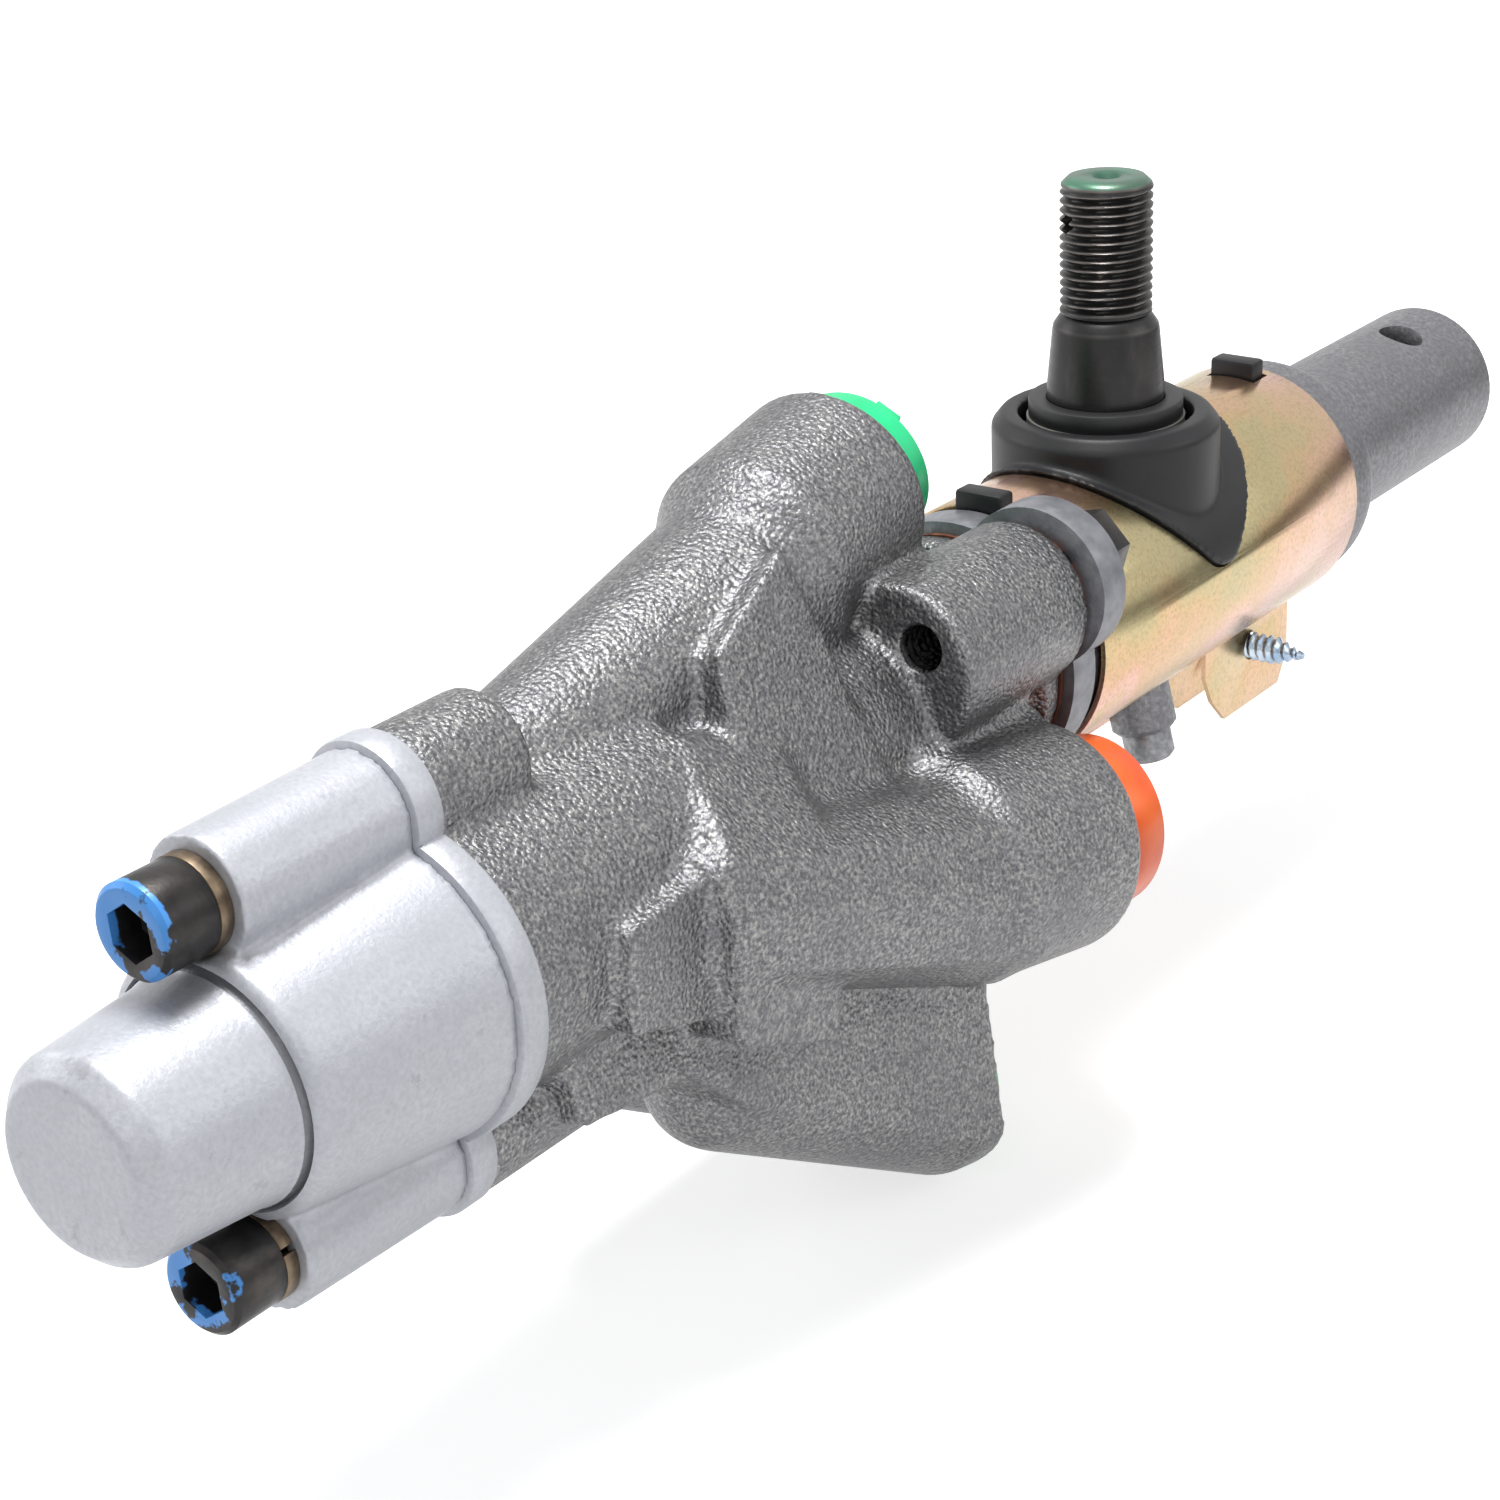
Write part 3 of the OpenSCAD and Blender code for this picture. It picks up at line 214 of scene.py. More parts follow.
def dabbed_black_oxide():
    """Cap screws of black oxide steel with a blue paint dab on the head, rubbed down to patches round the rim."""
    material = black_oxide()
    material.name = "blue_dabbed_black_oxide"
    tree = material.node_tree
    at = add(tree, "TexCoord").outputs["Object"]
    steel = tree.nodes["Principled BSDF"].inputs["Base Color"].links[0].from_socket
    blots = add(tree, "TexNoise", Vector=at, Scale=1 / (6 * MM), Detail=4, Roughness=0.6)
    place = add(tree, "SeparateXYZ", Vector=at)
    # more paint is left on the side away from the valve's near face
    leaning = add(tree, "Math", {"operation": "MULTIPLY_ADD"}, i0=place.outputs["Y"], i1=16.0, i2=blots)
    left = add(tree, "MapRange", Value=leaning, i1=0.47, i2=0.51)
    depth = add(tree, "Math", {"operation": "MULTIPLY_ADD"}, i0=blots, i1=-3 * MM, i2=place.outputs["X"])
    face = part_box("cap_screws")[0][0]
    rim = add(tree, "MapRange", Value=depth, i1=face - 0.3 * MM, i2=face - 0.6 * MM)
    paint = add(tree, "Math", {"operation": "MULTIPLY"}, i0=left, i1=rim)
    color = add(tree, "Mix", TINTS, i0=paint, i6=steel, i7="#4a98e6")
    bare = add(tree, "MapRange", Value=paint, i3=0.75, i4=0.05)
    return shade(material, Base_Color=color, Metallic=bare)


def turned_black_oxide():
    """Ball stud of turned steel, black oxide with fine tool rings and lighter thread crests; green paint on its tip.
    """
    material, tree, at = blank("turned_black_oxide_steel")
    rings = add(tree, "TexNoise", Vector=add(tree, "Mapping", Vector=at, i3=(0.03, 0.03, 1)), Scale=1 / (0.35 * MM),
                Detail=2)
    streaks = add(tree, "TexNoise", Vector=add(tree, "Mapping", Vector=at, i3=(1, 1, 0.35)), Scale=1 / (6 * MM),
                  Detail=4)
    dark = add(tree, "ValToRGB", i0=streaks, stops=((0.28, "#1f1f20"), (0.52, "#2f2e2e"), (0.78, "#4b4745")))
    # the thread crests are made lighter where the skin bends outwards
    curve = add(tree, "NewGeometry").outputs["Pointiness"]
    crests = add(tree, "MapRange", Value=curve, i1=0.52, i2=0.6, i4=0.8)
    crests_lighter = add(tree, "Mix", TINTS, i0=crests, i6=dark, i7="#857f7b")
    height = add(tree, "SeparateXYZ", Vector=at).outputs["Z"]
    tip = add(tree, "Math", {"operation": "GREATER_THAN"}, i0=height, i1=61.9 * MM)
    film = add(tree, "MapRange", Value=streaks, i1=0.35, i2=0.6, i3=0.55, i4=0.2)
    paint = add(tree, "Math", {"operation": "MULTIPLY"}, i0=tip, i1=film)
    color = add(tree, "Mix", TINTS, i0=paint, i6=crests_lighter, i7="#3f9a76")
    return shade(material, Base_Color=color, Roughness=add(tree, "MapRange", Value=rings, i3=0.46, i4=0.3),
                 Metallic=0.7, Normal=add(tree, "Bump", Height=rings, Distance=0.02 * MM))


def yellow_zinc():
    """Clamp of sheet steel in yellow-passivated zinc: polished gold with pink and green interference clouds."""
    material, tree, at = blank("yellow_zinc_plate")
    film = add(tree, "TexNoise", Vector=add(tree, "Mapping", Vector=at, i3=(0.55, 1, 1), i1=(0.11, 0.05, 0.0)),
               Scale=1 / (24 * MM), Detail=2, Roughness=0.45)
    blotch = add(tree, "TexNoise", Vector=at, Scale=1 / (6 * MM), Detail=4)
    mixed = add(tree, "Math", {"operation": "ADD"}, i0=add(tree, "Math", {"operation": "MULTIPLY"}, i0=film, i1=0.8),
                i1=add(tree, "Math", {"operation": "MULTIPLY"}, i0=blotch, i1=0.2))
    gold = add(tree, "ValToRGB", i0=mixed, stops=((0.36, "#b8ac84"), (0.43, "#c6aa82"), (0.5, "#cfa98b"),
                                                   (0.56, "#d6ad9f"), (0.62, "#c4aa84")))
    fine = add(tree, "TexNoise", Vector=at, Scale=1 / (0.6 * MM), Detail=2)
    color = add(tree, "Mix", TINTS, i0=add(tree, "MapRange", Value=fine, i1=0.45, i2=0.75, i4=0.5), i6=gold,
                i7="#9a8660")
    dents = add(tree, "Bump", Height=add(tree, "TexNoise", Vector=at, Scale=1 / (3 * MM), Detail=2),
                Distance=0.014 * MM)
    return shade(material, Base_Color=color, Roughness=add(tree, "MapRange", Value=blotch, i3=0.32, i4=0.2),
                 Metallic=0.95, Normal=dents)


def blue_zinc():
    """Clear blue-white zinc plate of a small screw: bright and slightly blue."""
    material, tree, at = blank("blue_white_zinc_plate")
    cloud = add(tree, "TexNoise", Vector=at, Scale=1 / (2.5 * MM), Detail=3)
    return shade(material, Base_Color=add(tree, "ValToRGB", i0=cloud, stops=((0.35, "#8fa3ba"), (0.7, "#c5d0da"))),
                 Roughness=0.24, Metallic=0.95, Normal=add(tree, "Bump", Height=cloud, Distance=0.02 * MM))


def moulded_rubber():
    """Boot of moulded black rubber: deep black with a soft broad sheen."""
    material, tree, at = blank("moulded_black_rubber")
    cloud = add(tree, "TexNoise", Vector=at, Scale=1 / (12 * MM), Detail=3)
    fine = add(tree, "TexNoise", Vector=at, Scale=1 / (0.4 * MM), Detail=2)
    return shade(material, Base_Color=add(tree, "ValToRGB", i0=cloud, stops=((0.3, "#161618"), (0.7, "#1e1e20"))),
                 Roughness=add(tree, "MapRange", Value=cloud, i3=0.5, i4=0.4),
                 Specular_IOR_Level=0.32, Normal=add(tree, "Bump", Height=fine, Distance=0.01 * MM))


def oiled_spring_steel():
    """Spring steel of lock washers and coils: straw brown under old oil."""
    material, tree, at = blank("oiled_spring_steel")
    cloud = add(tree, "TexNoise", Vector=at, Scale=1 / (3 * MM), Detail=3)
    return shade(material, Base_Color=add(tree, "ValToRGB", i0=cloud, stops=((0.35, "#54473a"), (0.65, "#85745f"))),
                 Roughness=0.4, Metallic=0.75, Normal=add(tree, "Bump", Height=cloud, Distance=0.03 * MM))


def gasket_fibre():
    """Compressed fibre gasket: dry rust brown, pressed thin."""
    material, tree, at = blank("compressed_fibre_gasket")
    cloud = add(tree, "TexNoise", Vector=at, Scale=1 / (1.4 * MM), Detail=4)
    return shade(material, Base_Color=add(tree, "ValToRGB", i0=cloud, stops=((0.3, "#3a2218"), (0.6, "#6b3d28"),
                                                                             (0.8, "#8d5a40"))),
                 Roughness=0.85, Normal=add(tree, "Bump", Height=cloud, Distance=0.05 * MM))


def port_plastic(name, dark, light):
    """Shipping plug of soft polyethylene: saturated, glossy and a little see-through."""
    material, tree, at = blank(name)
    cloud = add(tree, "TexNoise", Vector=at, Scale=1 / (9 * MM), Detail=2)
    ripple = add(tree, "TexNoise", Vector=at, Scale=1 / (3 * MM), Detail=3)
    return shade(material, Base_Color=add(tree, "ValToRGB", i0=cloud, stops=((0.3, dark), (0.7, light))),
                 Roughness=0.32, Normal=add(tree, "Bump", Height=ripple, Distance=0.02 * MM), Subsurface_Weight=0.15,
                 Subsurface_Scale=0.004)


def inside_finish(name, code, roughness, metallic=0.0):
    """Plain machined, moulded or pressed finish of a piece inside the valve."""
    material, tree, at = blank(name)
    cloud = add(tree, "TexNoise", Vector=at, Scale=1 / (2 * MM), Detail=3)
    color = add(tree, "Mix", TINTS, i0=add(tree, "MapRange", Value=cloud, i4=0.3), i6=code, i7="#303030")
    return shade(material, Base_Color=color, Roughness=roughness, Metallic=metallic,
                 Normal=add(tree, "Bump", Height=cloud, Distance=0.02 * MM))


IRON = cast_iron()
SILVER = silver_casting()
STEEL = blasted_steel()
PHOSPHATE = phosphate_steel()
BLACK = black_oxide()
BLUE_HEADS = dabbed_black_oxide()
TURNED = turned_black_oxide()
ZINC = yellow_zinc()
BLUE_ZINC = blue_zinc()
RUBBER = moulded_rubber()
SPRING = oiled_spring_steel()
GASKET = gasket_fibre()
GREEN = port_plastic("green_polyethylene", "#10c079", "#22dc90")
ORANGE = port_plastic("orange_polyethylene", "#ee5310", "#ff7730")
BRASS = inside_finish("machined_brass", "#c9a04c", 0.35, 0.9)
BRONZE = inside_finish("machined_bronze", "#b58550", 0.4, 0.9)
INNER = inside_finish("machined_steel", "#8b8c8f", 0.35, 0.9)
SEAL = inside_finish("seal_rubber", "#161617", 0.5)
FELT = inside_finish("grey_felt", "#6f6d68", 0.9)

FINISHES = {
    SILVER: ("adapter_plate",),
    PHOSPHATE: ("grease_plug",),
    BLACK: ("flange_bolts", "centring_bolt"),
    BLUE_HEADS: ("cap_screws",),
    SPRING: ("cap_lock_washers", "centring_spring", "seat_spring"),
    ZINC: ("boot_clamp",),
    BLUE_ZINC: ("lock_nut",),
    GASKET: ("flange_gasket",),
    GREEN: ("lower_port_plugs",),
    ORANGE: ("near_port_plug",),
    BRASS: ("hose_seats",),
    BRONZE: ("adapter_bushing", "inner_ball_seat", "outer_ball_seat"),
    SEAL: ("adapter_seal", "spool_end_seal", "bumper", "stud_washer"),
    FELT: ("felt_ring",),
    INNER: ("spool", "outer_spring_washer", "inner_spring_washer", "spring_spacer", "push_sleeve", "travel_stop",
            "stop_pin", "ball_socket"),
}

# Radius in millimetres of the small rounding on a node's edges
ROUNDED = {"cap_screws": 0.5, "flange_bolts": 0.3, "grease_plug": 0.35, "boot_clamp": 0.16, "adapter_plate": 0.6,
           "cap_lock_washers": 0.2, "stud_washer": 0.35, "near_port_plug": 0.7, "lower_port_plugs": 0.7}


def dress(obj, material, smooth_deg=40):
    """Gives an object its material and smooth shading that breaks at its edges."""
    obj.data.materials.clear()
    obj.data.materials.append(material)
    for polygon in obj.data.polygons:
        polygon.use_smooth = True
    obj.modifiers.new("smooth_by_angle", "EDGE_SPLIT").split_angle = math.radians(smooth_deg)


def round_edges(obj, width_mm):
    """Small rounded edges that catch the light."""
    obj.modifiers.new("weld", "WELD").merge_threshold = 1e-6
    bevel = obj.modifiers.new("edge_round", "BEVEL")
    bevel.width = width_mm * MM
    bevel.segments = 2
    bevel.limit_method = "ANGLE"
    bevel.angle_limit = math.radians(35)


for material, names in FINISHES.items():
    for name in names:
        if name in ROUNDED:
            round_edges(NODES[name], ROUNDED[name])
        dress(NODES[name], material)


# Working tools: objects from bmeshes, moulded skins, turned solids and cuts


def link_object(name, bm):
    """Object at the origin from a bmesh, which is used up."""
    mesh = bpy.data.meshes.new(name)
    bm.to_mesh(mesh)
    bm.free()
    obj = bpy.data.objects.new(name, mesh)
    bpy.context.scene.collection.objects.link(obj)
    return obj


def stand_in(name, bm, material, body, node):
    """Dressed object in the place of one CAD node or part of it. It rides on a body, unless that is None."""
    bmesh.ops.recalc_face_normals(bm, faces=bm.faces)
    obj = link_object(name, bm)
    dress(obj, material, 60)
    if body:
        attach(obj, body)
    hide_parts(node)
    return obj


def rounded_again(obj, width_mm, smooth_deg=40):
    """Rounds the edges of a dressed object before its shading is split."""
    obj.modifiers.clear()
    round_edges(obj, width_mm)
    dress(obj, obj.data.materials[0], smooth_deg)


def applied(obj):
    """Mesh that an object's modifiers give."""
    bpy.context.view_layer.update()
    return bpy.data.meshes.new_from_object(obj.evaluated_get(bpy.context.evaluated_depsgraph_get()))


def discard(obj):
    """Deletes a working object and its mesh."""
    mesh = obj.data
    bpy.data.objects.remove(obj)
    bpy.data.meshes.remove(mesh)


def merged_copy(node):
    """bmesh of a CAD node with its doubled seam vertices merged."""
    bm = bmesh.new()
    bm.from_mesh(NODES[node].data)
    bmesh.ops.remove_doubles(bm, verts=bm.verts, dist=1e-6)
    bmesh.ops.recalc_face_normals(bm, faces=bm.faces)
    return bm


def even_skin(bm, square_mm):
    """The same shape as an even skin of small squares."""
    obj = link_object("skin", bm)
    remesh = obj.modifiers.new("remesh", "REMESH")
    remesh.mode = "VOXEL"
    remesh.voxel_size = square_mm * MM
    mesh = applied(obj)
    discard(obj)
    skin = bmesh.new()
    skin.from_mesh(mesh)
    bpy.data.meshes.remove(mesh)
    return skin


def hollow(vert):
    """Whether the skin bends inwards at a vertex."""
    around = [edge.other_vert(vert).co for edge in vert.link_edges]
    middle = sum(around, Vector()) / len(around)
    return (middle - vert.co).dot(vert.normal) > 0.004 * MM


def mould(bm, fillets, rounding, machined):
    """Fills the hollows in steps, then rounds everything. machined(point) tells what stays as cut."""
    free = [v for v in bm.verts if not machined(v.co)]
    axes = {"use_axis_x": True, "use_axis_y": True, "use_axis_z": True}
    for _ in range(fillets):
        bm.normal_update()
        bmesh.ops.smooth_vert(bm, verts=[v for v in free if hollow(v)], factor=0.5, **axes)
    for _ in range(rounding):
        bmesh.ops.smooth_vert(bm, verts=free, factor=0.5, **axes)


def cut_with(obj, bm):
    """Cuts a bmesh out of an object."""
    cutter = link_object("cutter", bm)
    obj.modifiers.clear()
    cut = obj.modifiers.new("cut", "BOOLEAN")
    cut.operation = "DIFFERENCE"
    cut.solver = "EXACT"
    cut.object = cutter
    mesh = applied(obj)
    obj.modifiers.clear()
    old = obj.data
    obj.data = mesh
    bpy.data.meshes.remove(old)
    discard(cutter)
    dress(obj, obj.data.materials[0], 60)


def lathe(profile, segments=96):
    """Solid turned round Z from (radius, height) points in millimetres: a bar from axis to axis, or else a ring."""
    bm = bmesh.new()
    points = [bm.verts.new((r * MM, 0, z * MM)) for r, z in profile]
    ends = points[1:] if profile[0][0] == 0 else points[1:] + points[:1]
    edges = [bm.edges.new(pair) for pair in zip(points, ends)]
    bmesh.ops.spin(bm, geom=points + edges, axis=(0, 0, 1), cent=(0, 0, 0), steps=segments, angle=math.tau,
                   use_merge=True)
    bmesh.ops.remove_doubles(bm, verts=bm.verts, dist=1e-7)
    bmesh.ops.recalc_face_normals(bm, faces=bm.faces)
    return bm


def lay_along_x(bm, x=0.0, y=0.0, z=0.0):
    """Turns a solid's axis from Z to X and takes its origin to a point, in millimetres."""
    bmesh.ops.transform(bm, verts=bm.verts, matrix=Matrix.Translation((x * MM, y * MM, z * MM)) @ ALONG_X)


def thread(bm, z0, z1, pitch, depth, root_start, taper_out=1.2):
    """Presses a helical thread into the turned surface between two heights, in millimetres."""
    for v in bm.verts:
        r, z = math.hypot(v.co.x, v.co.y) / MM, v.co.z / MM
        if z0 <= z <= z1 and r > root_start:
            turn = (z / pitch - math.atan2(v.co.y, v.co.x) / math.tau) % 1.0
            wave = abs(turn * 2 - 1)
            cut = depth * min(1.0, max(0.0, 1.18 * wave - 0.06))
            fade = min(1.0, (z - z0) / taper_out, (z1 - z) / taper_out + 0.35)
            k = (r - cut * max(0.0, fade)) / r
            v.co.x *= k
            v.co.y *= k


def rod_along_x(bm, radius, x0, x1, y=0.0, z=0.0):
    """Adds a round bar along X, in millimetres."""
    place = Matrix.Translation(((x0 + x1) / 2 * MM, y * MM, z * MM)) @ ALONG_X
    bmesh.ops.create_cone(bm, cap_ends=True, segments=96, radius1=radius * MM, radius2=radius * MM,
                          depth=(x1 - x0) * MM, matrix=place)


# Pieces of the valve body that take the place of CAD nodes


def housing():
    """Housing casting with fillets in its hollows; its stop bore and the tapped holes in its lugs are cut afresh."""
    bm = merged_copy("valve_housing")
    rod_along_x(bm, STOP_BORE_R + 0.2, FLANGE_FACE - STOP_BORE_DEPTH - 0.5, FLANGE_FACE)
    for y, z in LUG_HOLES:
        rod_along_x(bm, LUG_HOLE_R + 0.2, LUG_FACE, LUG_FACE + 9, y, z)
    skin = even_skin(bm, 0.75)
    low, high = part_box("valve_housing")
    face_depth, bore_reach = 1.0 * MM, 14.8 * MM
    bores_end, bores_start = -0.15, -0.06

    def machined(p):
        ends = p.x < low[0] + face_depth or p.x > high[0] - face_depth
        return ends or math.hypot(p.y, p.z) < bore_reach and not bores_end < p.x < bores_start

    mould(skin, 14, 3, machined)
    obj = stand_in("housing_casting", skin, IRON, "valve_body", "valve_housing")
    bore = bmesh.new()
    rod_along_x(bore, STOP_BORE_R, FLANGE_FACE - STOP_BORE_DEPTH, FLANGE_FACE + 2)
    cut_with(obj, bore)
    for y, z in LUG_HOLES:
        rows = [(LUG_HOLE_R, -1.2 + 0.18 * i) for i in range(52)]
        tap = lathe([(0, -1.2)] + rows + [(3.3, 8.2), (0, 9.4)], 48)
        thread(tap, -1.3, 8.1, THREAD_PITCH, depth=0.62, root_start=3.2, taper_out=0.1)
        lay_along_x(tap, LUG_FACE, y, z)
        cut_with(obj, tap)


def cap():
    """Spring cap casting: bosses blended into the body, and a crease left where the dome leaves it."""
    skin = even_skin(merged_copy("spring_cap"), 0.55)
    low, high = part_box("spring_cap")
    step = low[0] + CAP_DOME_LENGTH * MM

    def joint_face(p):
        return p.x > high[0] - 0.3 * MM

    def dome_root(p):
        return abs(p.x - step) < 3 * MM and math.hypot(p.y, p.z) < 17.2 * MM

    mould(skin, 10, 0, lambda p: joint_face(p) or dome_root(p))
    mould(skin, 0, 2, joint_face)
    obj = stand_in("cap_casting", skin, SILVER, "valve_body", "spring_cap")
    crease = lathe([(14.2, -0.9), (15.55, -0.6), (15.35, 0.5), (15.05, 0.9), (14.8, 0.6)])
    lay_along_x(crease, step / MM)
    cut_with(obj, crease)


def upper_plug():
    """Green port plug with its pull tab pressed down nearly flat, as soft plastic stays."""
    bm = merged_copy("upper_port_plug")
    port = (Matrix.Rotation(math.radians(-18), 4, "X") @ Matrix.Translation((-59 * MM, 0, 31 * MM))
            @ Matrix.Rotation(math.radians(79), 4, "Y"))
    outwards = port.to_3x3() @ Vector((0, 0, 1))
    rim, pressed = 9.73 * MM, 2.6 * MM
    for v in bm.verts:
        if (v.co - port.translation).dot(outwards) > rim:
            v.co -= outwards * pressed
    obj = stand_in("moulded_port_plug", bm, GREEN, "valve_body", "upper_port_plug")
    rounded_again(obj, 0.8, 50)


def sleeve():
    """Sleeve with the turned shoulder that carries its barrel on past the clamp."""
    bm = merged_copy("sleeve")
    shoulder = lathe([(0, 47.7), (19.78, 47.7), (19.78, 53.6), (19.6, 55), (19.1, 56.4), (18.2, 57.6), (16.9, 58.6),
                      (15.8, 59.6), (15.0, 61), (14.5, 62.6), (14.2, 64.6), (0, 64.6)])
    lay_along_x(shoulder)
    mesh = bpy.data.meshes.new("shoulder")
    shoulder.to_mesh(mesh)
    shoulder.free()
    bm.from_mesh(mesh)
    bpy.data.meshes.remove(mesh)
    obj = stand_in("turned_sleeve", bm, STEEL, "valve_body", "sleeve")
    rounded_again(obj, 0.8)


def stud():
    """Ball stud with its rolled thread, taper, cotter pin hole and centre-drilled tip."""
    start, top = 42.0, 61.4
    rows = int((top - start) / (THREAD_PITCH / 8))
    profile = [(0, -BALL_R)]
    profile += [(BALL_R * math.sin(math.radians(a)), -BALL_R * math.cos(math.radians(a))) for a in range(6, 146, 6)]
    profile += [(7.0, 10.8), (7.0, 18.0), (9.1, 21.0), (9.1, 30.3), (8.25, 39.2), (8.1, 39.9), (7.2, 41.2),
                (6.65, 41.7)]
    profile += [(STUD_THREAD_R, start + i * (top - start) / rows) for i in range(rows + 1)]
    profile += [(6.9, 61.75), (5.9, 62.7), (2.3, 62.7), (1.0, 61.4), (0, 61.3)]
    bm = lathe(profile)
    thread(bm, start - 0.01, top + 0.01, THREAD_PITCH, depth=0.8, root_start=6.9)
    obj = stand_in("threaded_ball_stud", bm, TURNED, "stud", "ball_stud")
    pin, pin_r, pin_height = bmesh.new(), 1.6 * MM, 56.1 * MM
    across = Matrix.Translation((0, 0, pin_height)) @ Matrix.Rotation(math.radians(145), 4, "Z") @ ALONG_X
    bmesh.ops.create_cone(pin, cap_ends=True, segments=32, radius1=pin_r, radius2=pin_r, depth=30 * MM, matrix=across)
    cut_with(obj, pin)


def clamp_screw():
    """Hex head screw with a coarse thread that tapers to a point, laid along -Y."""
    rows, length, taper_from = 110, 19.4, 14.5
    radius, tip_r, head_r, head_h = 2.4, 0.5, 3.67, 4
    profile = [(0, -head_h)]
    profile += [(radius if z < taper_from else radius - (z - taper_from) / (length - taper_from) * (radius - tip_r), z)
                for z in (i * length / rows for i in range(rows + 1))]
    profile += [(0, length)]
    bm = lathe(profile, 48)
    thread(bm, 0.6, 19.0, pitch=1.5, depth=0.62, root_start=0.9, taper_out=0.5)
    below = Matrix.Translation((0, 0, -head_h / 2 * MM)) @ Matrix.Rotation(math.radians(30), 4, "Z")
    bmesh.ops.create_cone(bm, cap_ends=True, segments=6, radius1=head_r * MM, radius2=head_r * MM, depth=head_h * MM,
                          matrix=below)
    bmesh.ops.transform(bm, verts=bm.verts, matrix=Matrix.Translation((34 * MM, 0.99 * MM, -23.4 * MM))
                        @ Matrix.Rotation(math.radians(90), 4, "X"))
    stand_in("threaded_clamp_screw", bm, BLUE_ZINC, "valve_body", "clamp_screw")


def boot():
    """Rubber boot with moulded transitions from its saddle to the collar. Only what stands above the clamp is
    smoothed.
    """
    skin = even_skin(merged_copy("dust_boot"), 0.42)
    mould(skin, 4, 3, lambda p: p.z < 3.4 * MM)
    # the tabs are cut off the skin, for boot_tabs() to draw
    middle, tabs_from = sum(BOOT_TABS) / 2 * MM, 36 * MM
    ends = [v for v in skin.verts if abs(v.co.x - middle) > tabs_from]
    inside = set(ends)
    ends += [part for part in (*skin.edges, *skin.faces) if inside.issuperset(part.verts)]
    bmesh.ops.bisect_plane(skin, geom=ends, plane_co=(0, 0, SADDLE_TOP * MM), plane_no=(0, 0, 1), clear_outer=True)
    bmesh.ops.holes_fill(skin, edges=[edge for edge in skin.edges if edge.is_boundary])
    obj = stand_in("rubber_boot", skin, RUBBER, None, "dust_boot")
    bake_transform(obj)


def boot_tabs():
    """The boot's two tabs, which sit in the clamp's slots and ride on the valve body."""
    bm = bmesh.new()
    for x in BOOT_TABS:
        place = Matrix.Translation((x * MM, 0, BOOT_TAB_MIDDLE * MM)) @ Matrix.Diagonal((*BOOT_TAB_SIZE, 1))
        bmesh.ops.create_cube(bm, size=MM, matrix=place)
    obj = stand_in("boot_slot_tabs", bm, RUBBER, "valve_body", "dust_boot")
    rounded_again(obj, 0.6)


housing()
cap()
upper_plug()
sleeve()
stud()
clamp_screw()
boot()
boot_tabs()


# Studio: lamps, paper floor, world and camera


def softbox(name, place, target, size, power):
    """White rectangular lamp that faces a point."""
    lamp = bpy.data.lights.new(name, "AREA")
    lamp.shape = "RECTANGLE"
    lamp.size, lamp.size_y = size
    lamp.energy = power
    obj = bpy.data.objects.new(name, lamp)
    bpy.context.scene.collection.objects.link(obj)
    obj.location = place
    obj.rotation_euler = (Vector(target) - Vector(place)).to_track_quat("-Z", "Y").to_euler()


def sees_backdrop(tree):
    """1 for the rays that show the background: camera, mirror and see-through rays."""
    path = add(tree, "LightPath")
    either = add(tree, "Math", {"operation": "MAXIMUM"}, i0=path.outputs["Is Camera Ray"],
                 i1=path.outputs["Is Glossy Ray"])
    return add(tree, "Math", {"operation": "MAXIMUM"}, i0=either, i1=path.outputs["Is Transmission Ray"])


def white_paper():
    """White paper: shown plain white a little way off, and near the object it keeps a soft shadow."""
    material, tree, at = blank("white_paper")
    paper = tree.nodes["Principled BSDF"]
    shade(material, Base_Color="#c9c9c9", Roughness=0.9)
    under = add(tree, "Mapping", Vector=at, i1=(0.06, 0.0, 0.0), i3=(0.8, 1.3, 0.0))
    off = add(tree, "VectorMath", {"operation": "LENGTH"}, i0=under).outputs["Value"]
    strength = add(tree, "MapRange", Value=off, i1=0.08, i2=0.36, i3=0.68, i4=1.0)
    glow = add(tree, "Emission", Color="#ffffff", Strength=strength)
    shown = add(tree, "AddShader", i0=paper, i1=glow)
    seen = add(tree, "MixShader", i0=sees_backdrop(tree), i1=paper, i2=shown)
    tree.links.new(seen.outputs[0], tree.nodes["Material Output"].inputs["Surface"])
    return material


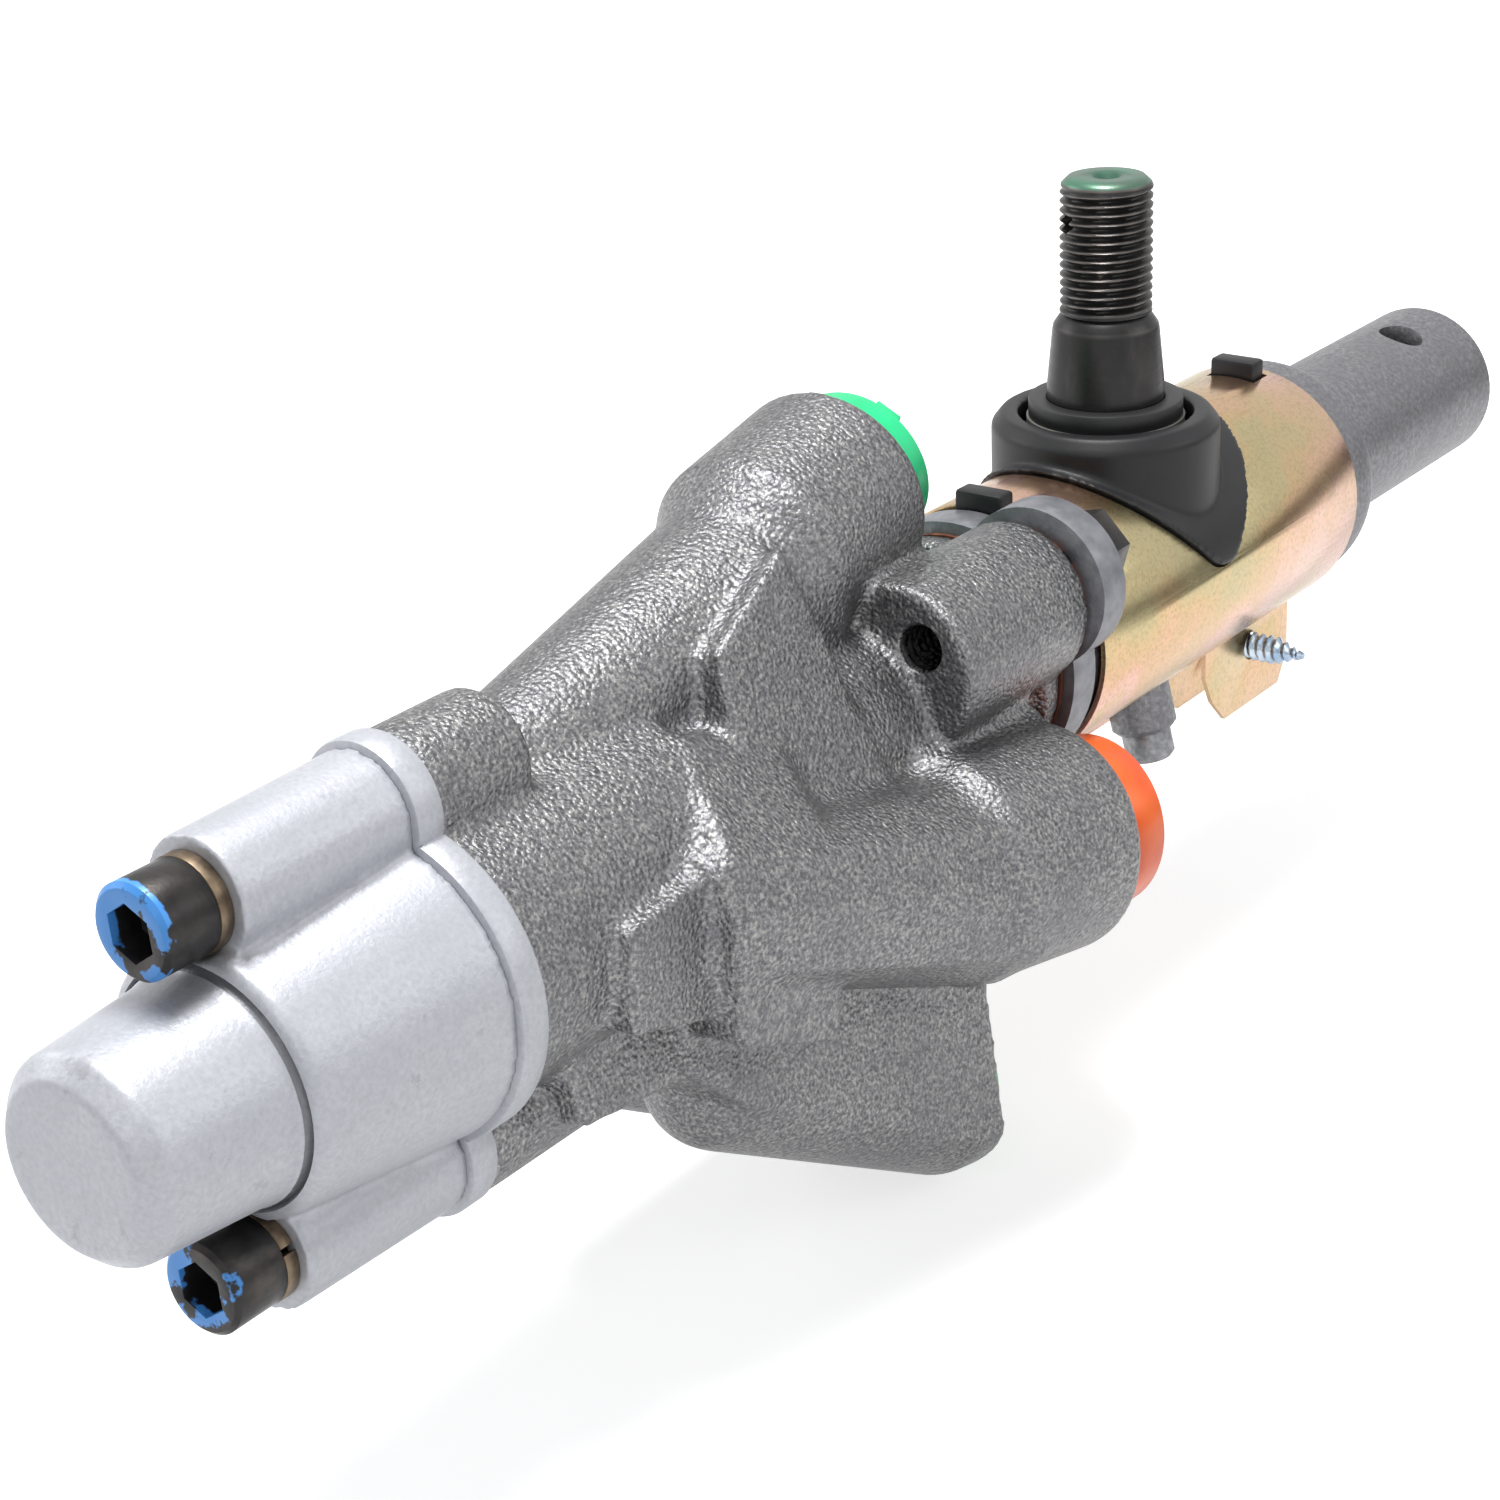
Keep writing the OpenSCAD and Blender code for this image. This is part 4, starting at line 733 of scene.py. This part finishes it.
def floor():
    """Paper floor a little below the valve's lowest point."""
    bm = bmesh.new()
    bmesh.ops.create_grid(bm, x_segments=1, y_segments=1, size=3.0, matrix=Matrix.Translation((0, 0, -0.0685)))
    obj = link_object("paper_floor", bm)
    obj.data.materials.append(white_paper())


def dark_card():
    """Black card low on the near right, outside the camera's frame: it draws the dark line along the clamp."""
    bm = bmesh.new()
    turn = Matrix.Translation((0.42, -0.34, -0.02)) @ Matrix.Rotation(math.radians(-37), 4, "Z")
    bmesh.ops.create_cube(bm, size=1.0, matrix=turn @ Matrix.Diagonal((0.004, 0.9, 0.09, 1)))
    obj = link_object("dark_card", bm)
    material = blank("black_card")[0]
    obj.data.materials.append(shade(material, Base_Color="#161616", Roughness=0.9))
    obj.visible_camera = False


softbox("top_softbox", (-0.08, 0.02, 0.72), (-0.06, 0, 0), (0.26, 0.22), 6.2)
softbox("front_softbox", (-0.75, -0.35, 0.45), (-0.1, 0, 0), (0.4, 0.5), 0.8)
softbox("right_softbox", (0.3, -0.75, 0.42), (0, 0, 0), (0.6, 0.35), 1.2)
softbox("left_softbox", (-0.3, 0.8, 0.4), (-0.05, 0, 0), (0.5, 0.4), 1.8)
floor()
dark_card()

world = bpy.data.worlds.new("studio")
bpy.context.scene.world = world
world.use_nodes = True
sky = world.node_tree
tint = add(sky, "Mix", TINTS, i0=sees_backdrop(sky), i6="#8a8c90", i7="#ffffff")
feed(sky, sky.nodes["Background"], {"Color": tint})

camera = bpy.data.cameras.new("photo_camera")
camera.sensor_width = 36
camera.lens = 73.745
camera.clip_start = 0.01
camera_object = bpy.data.objects.new("photo_camera", camera)
bpy.context.scene.collection.objects.link(camera_object)
right = Vector((0.59178, -0.80503, -0.04150))
down = Vector((-0.34114, -0.20346, -0.91773))
ahead = Vector((0.73035, 0.55725, -0.39504))
camera_object.matrix_world = Matrix.Translation((-0.400697, -0.233083, 0.168719)) @ Matrix(
    (right, -down, -ahead)).transposed().to_4x4()
bpy.context.scene.camera = camera_object
bpy.context.scene.view_settings.view_transform = "Standard"
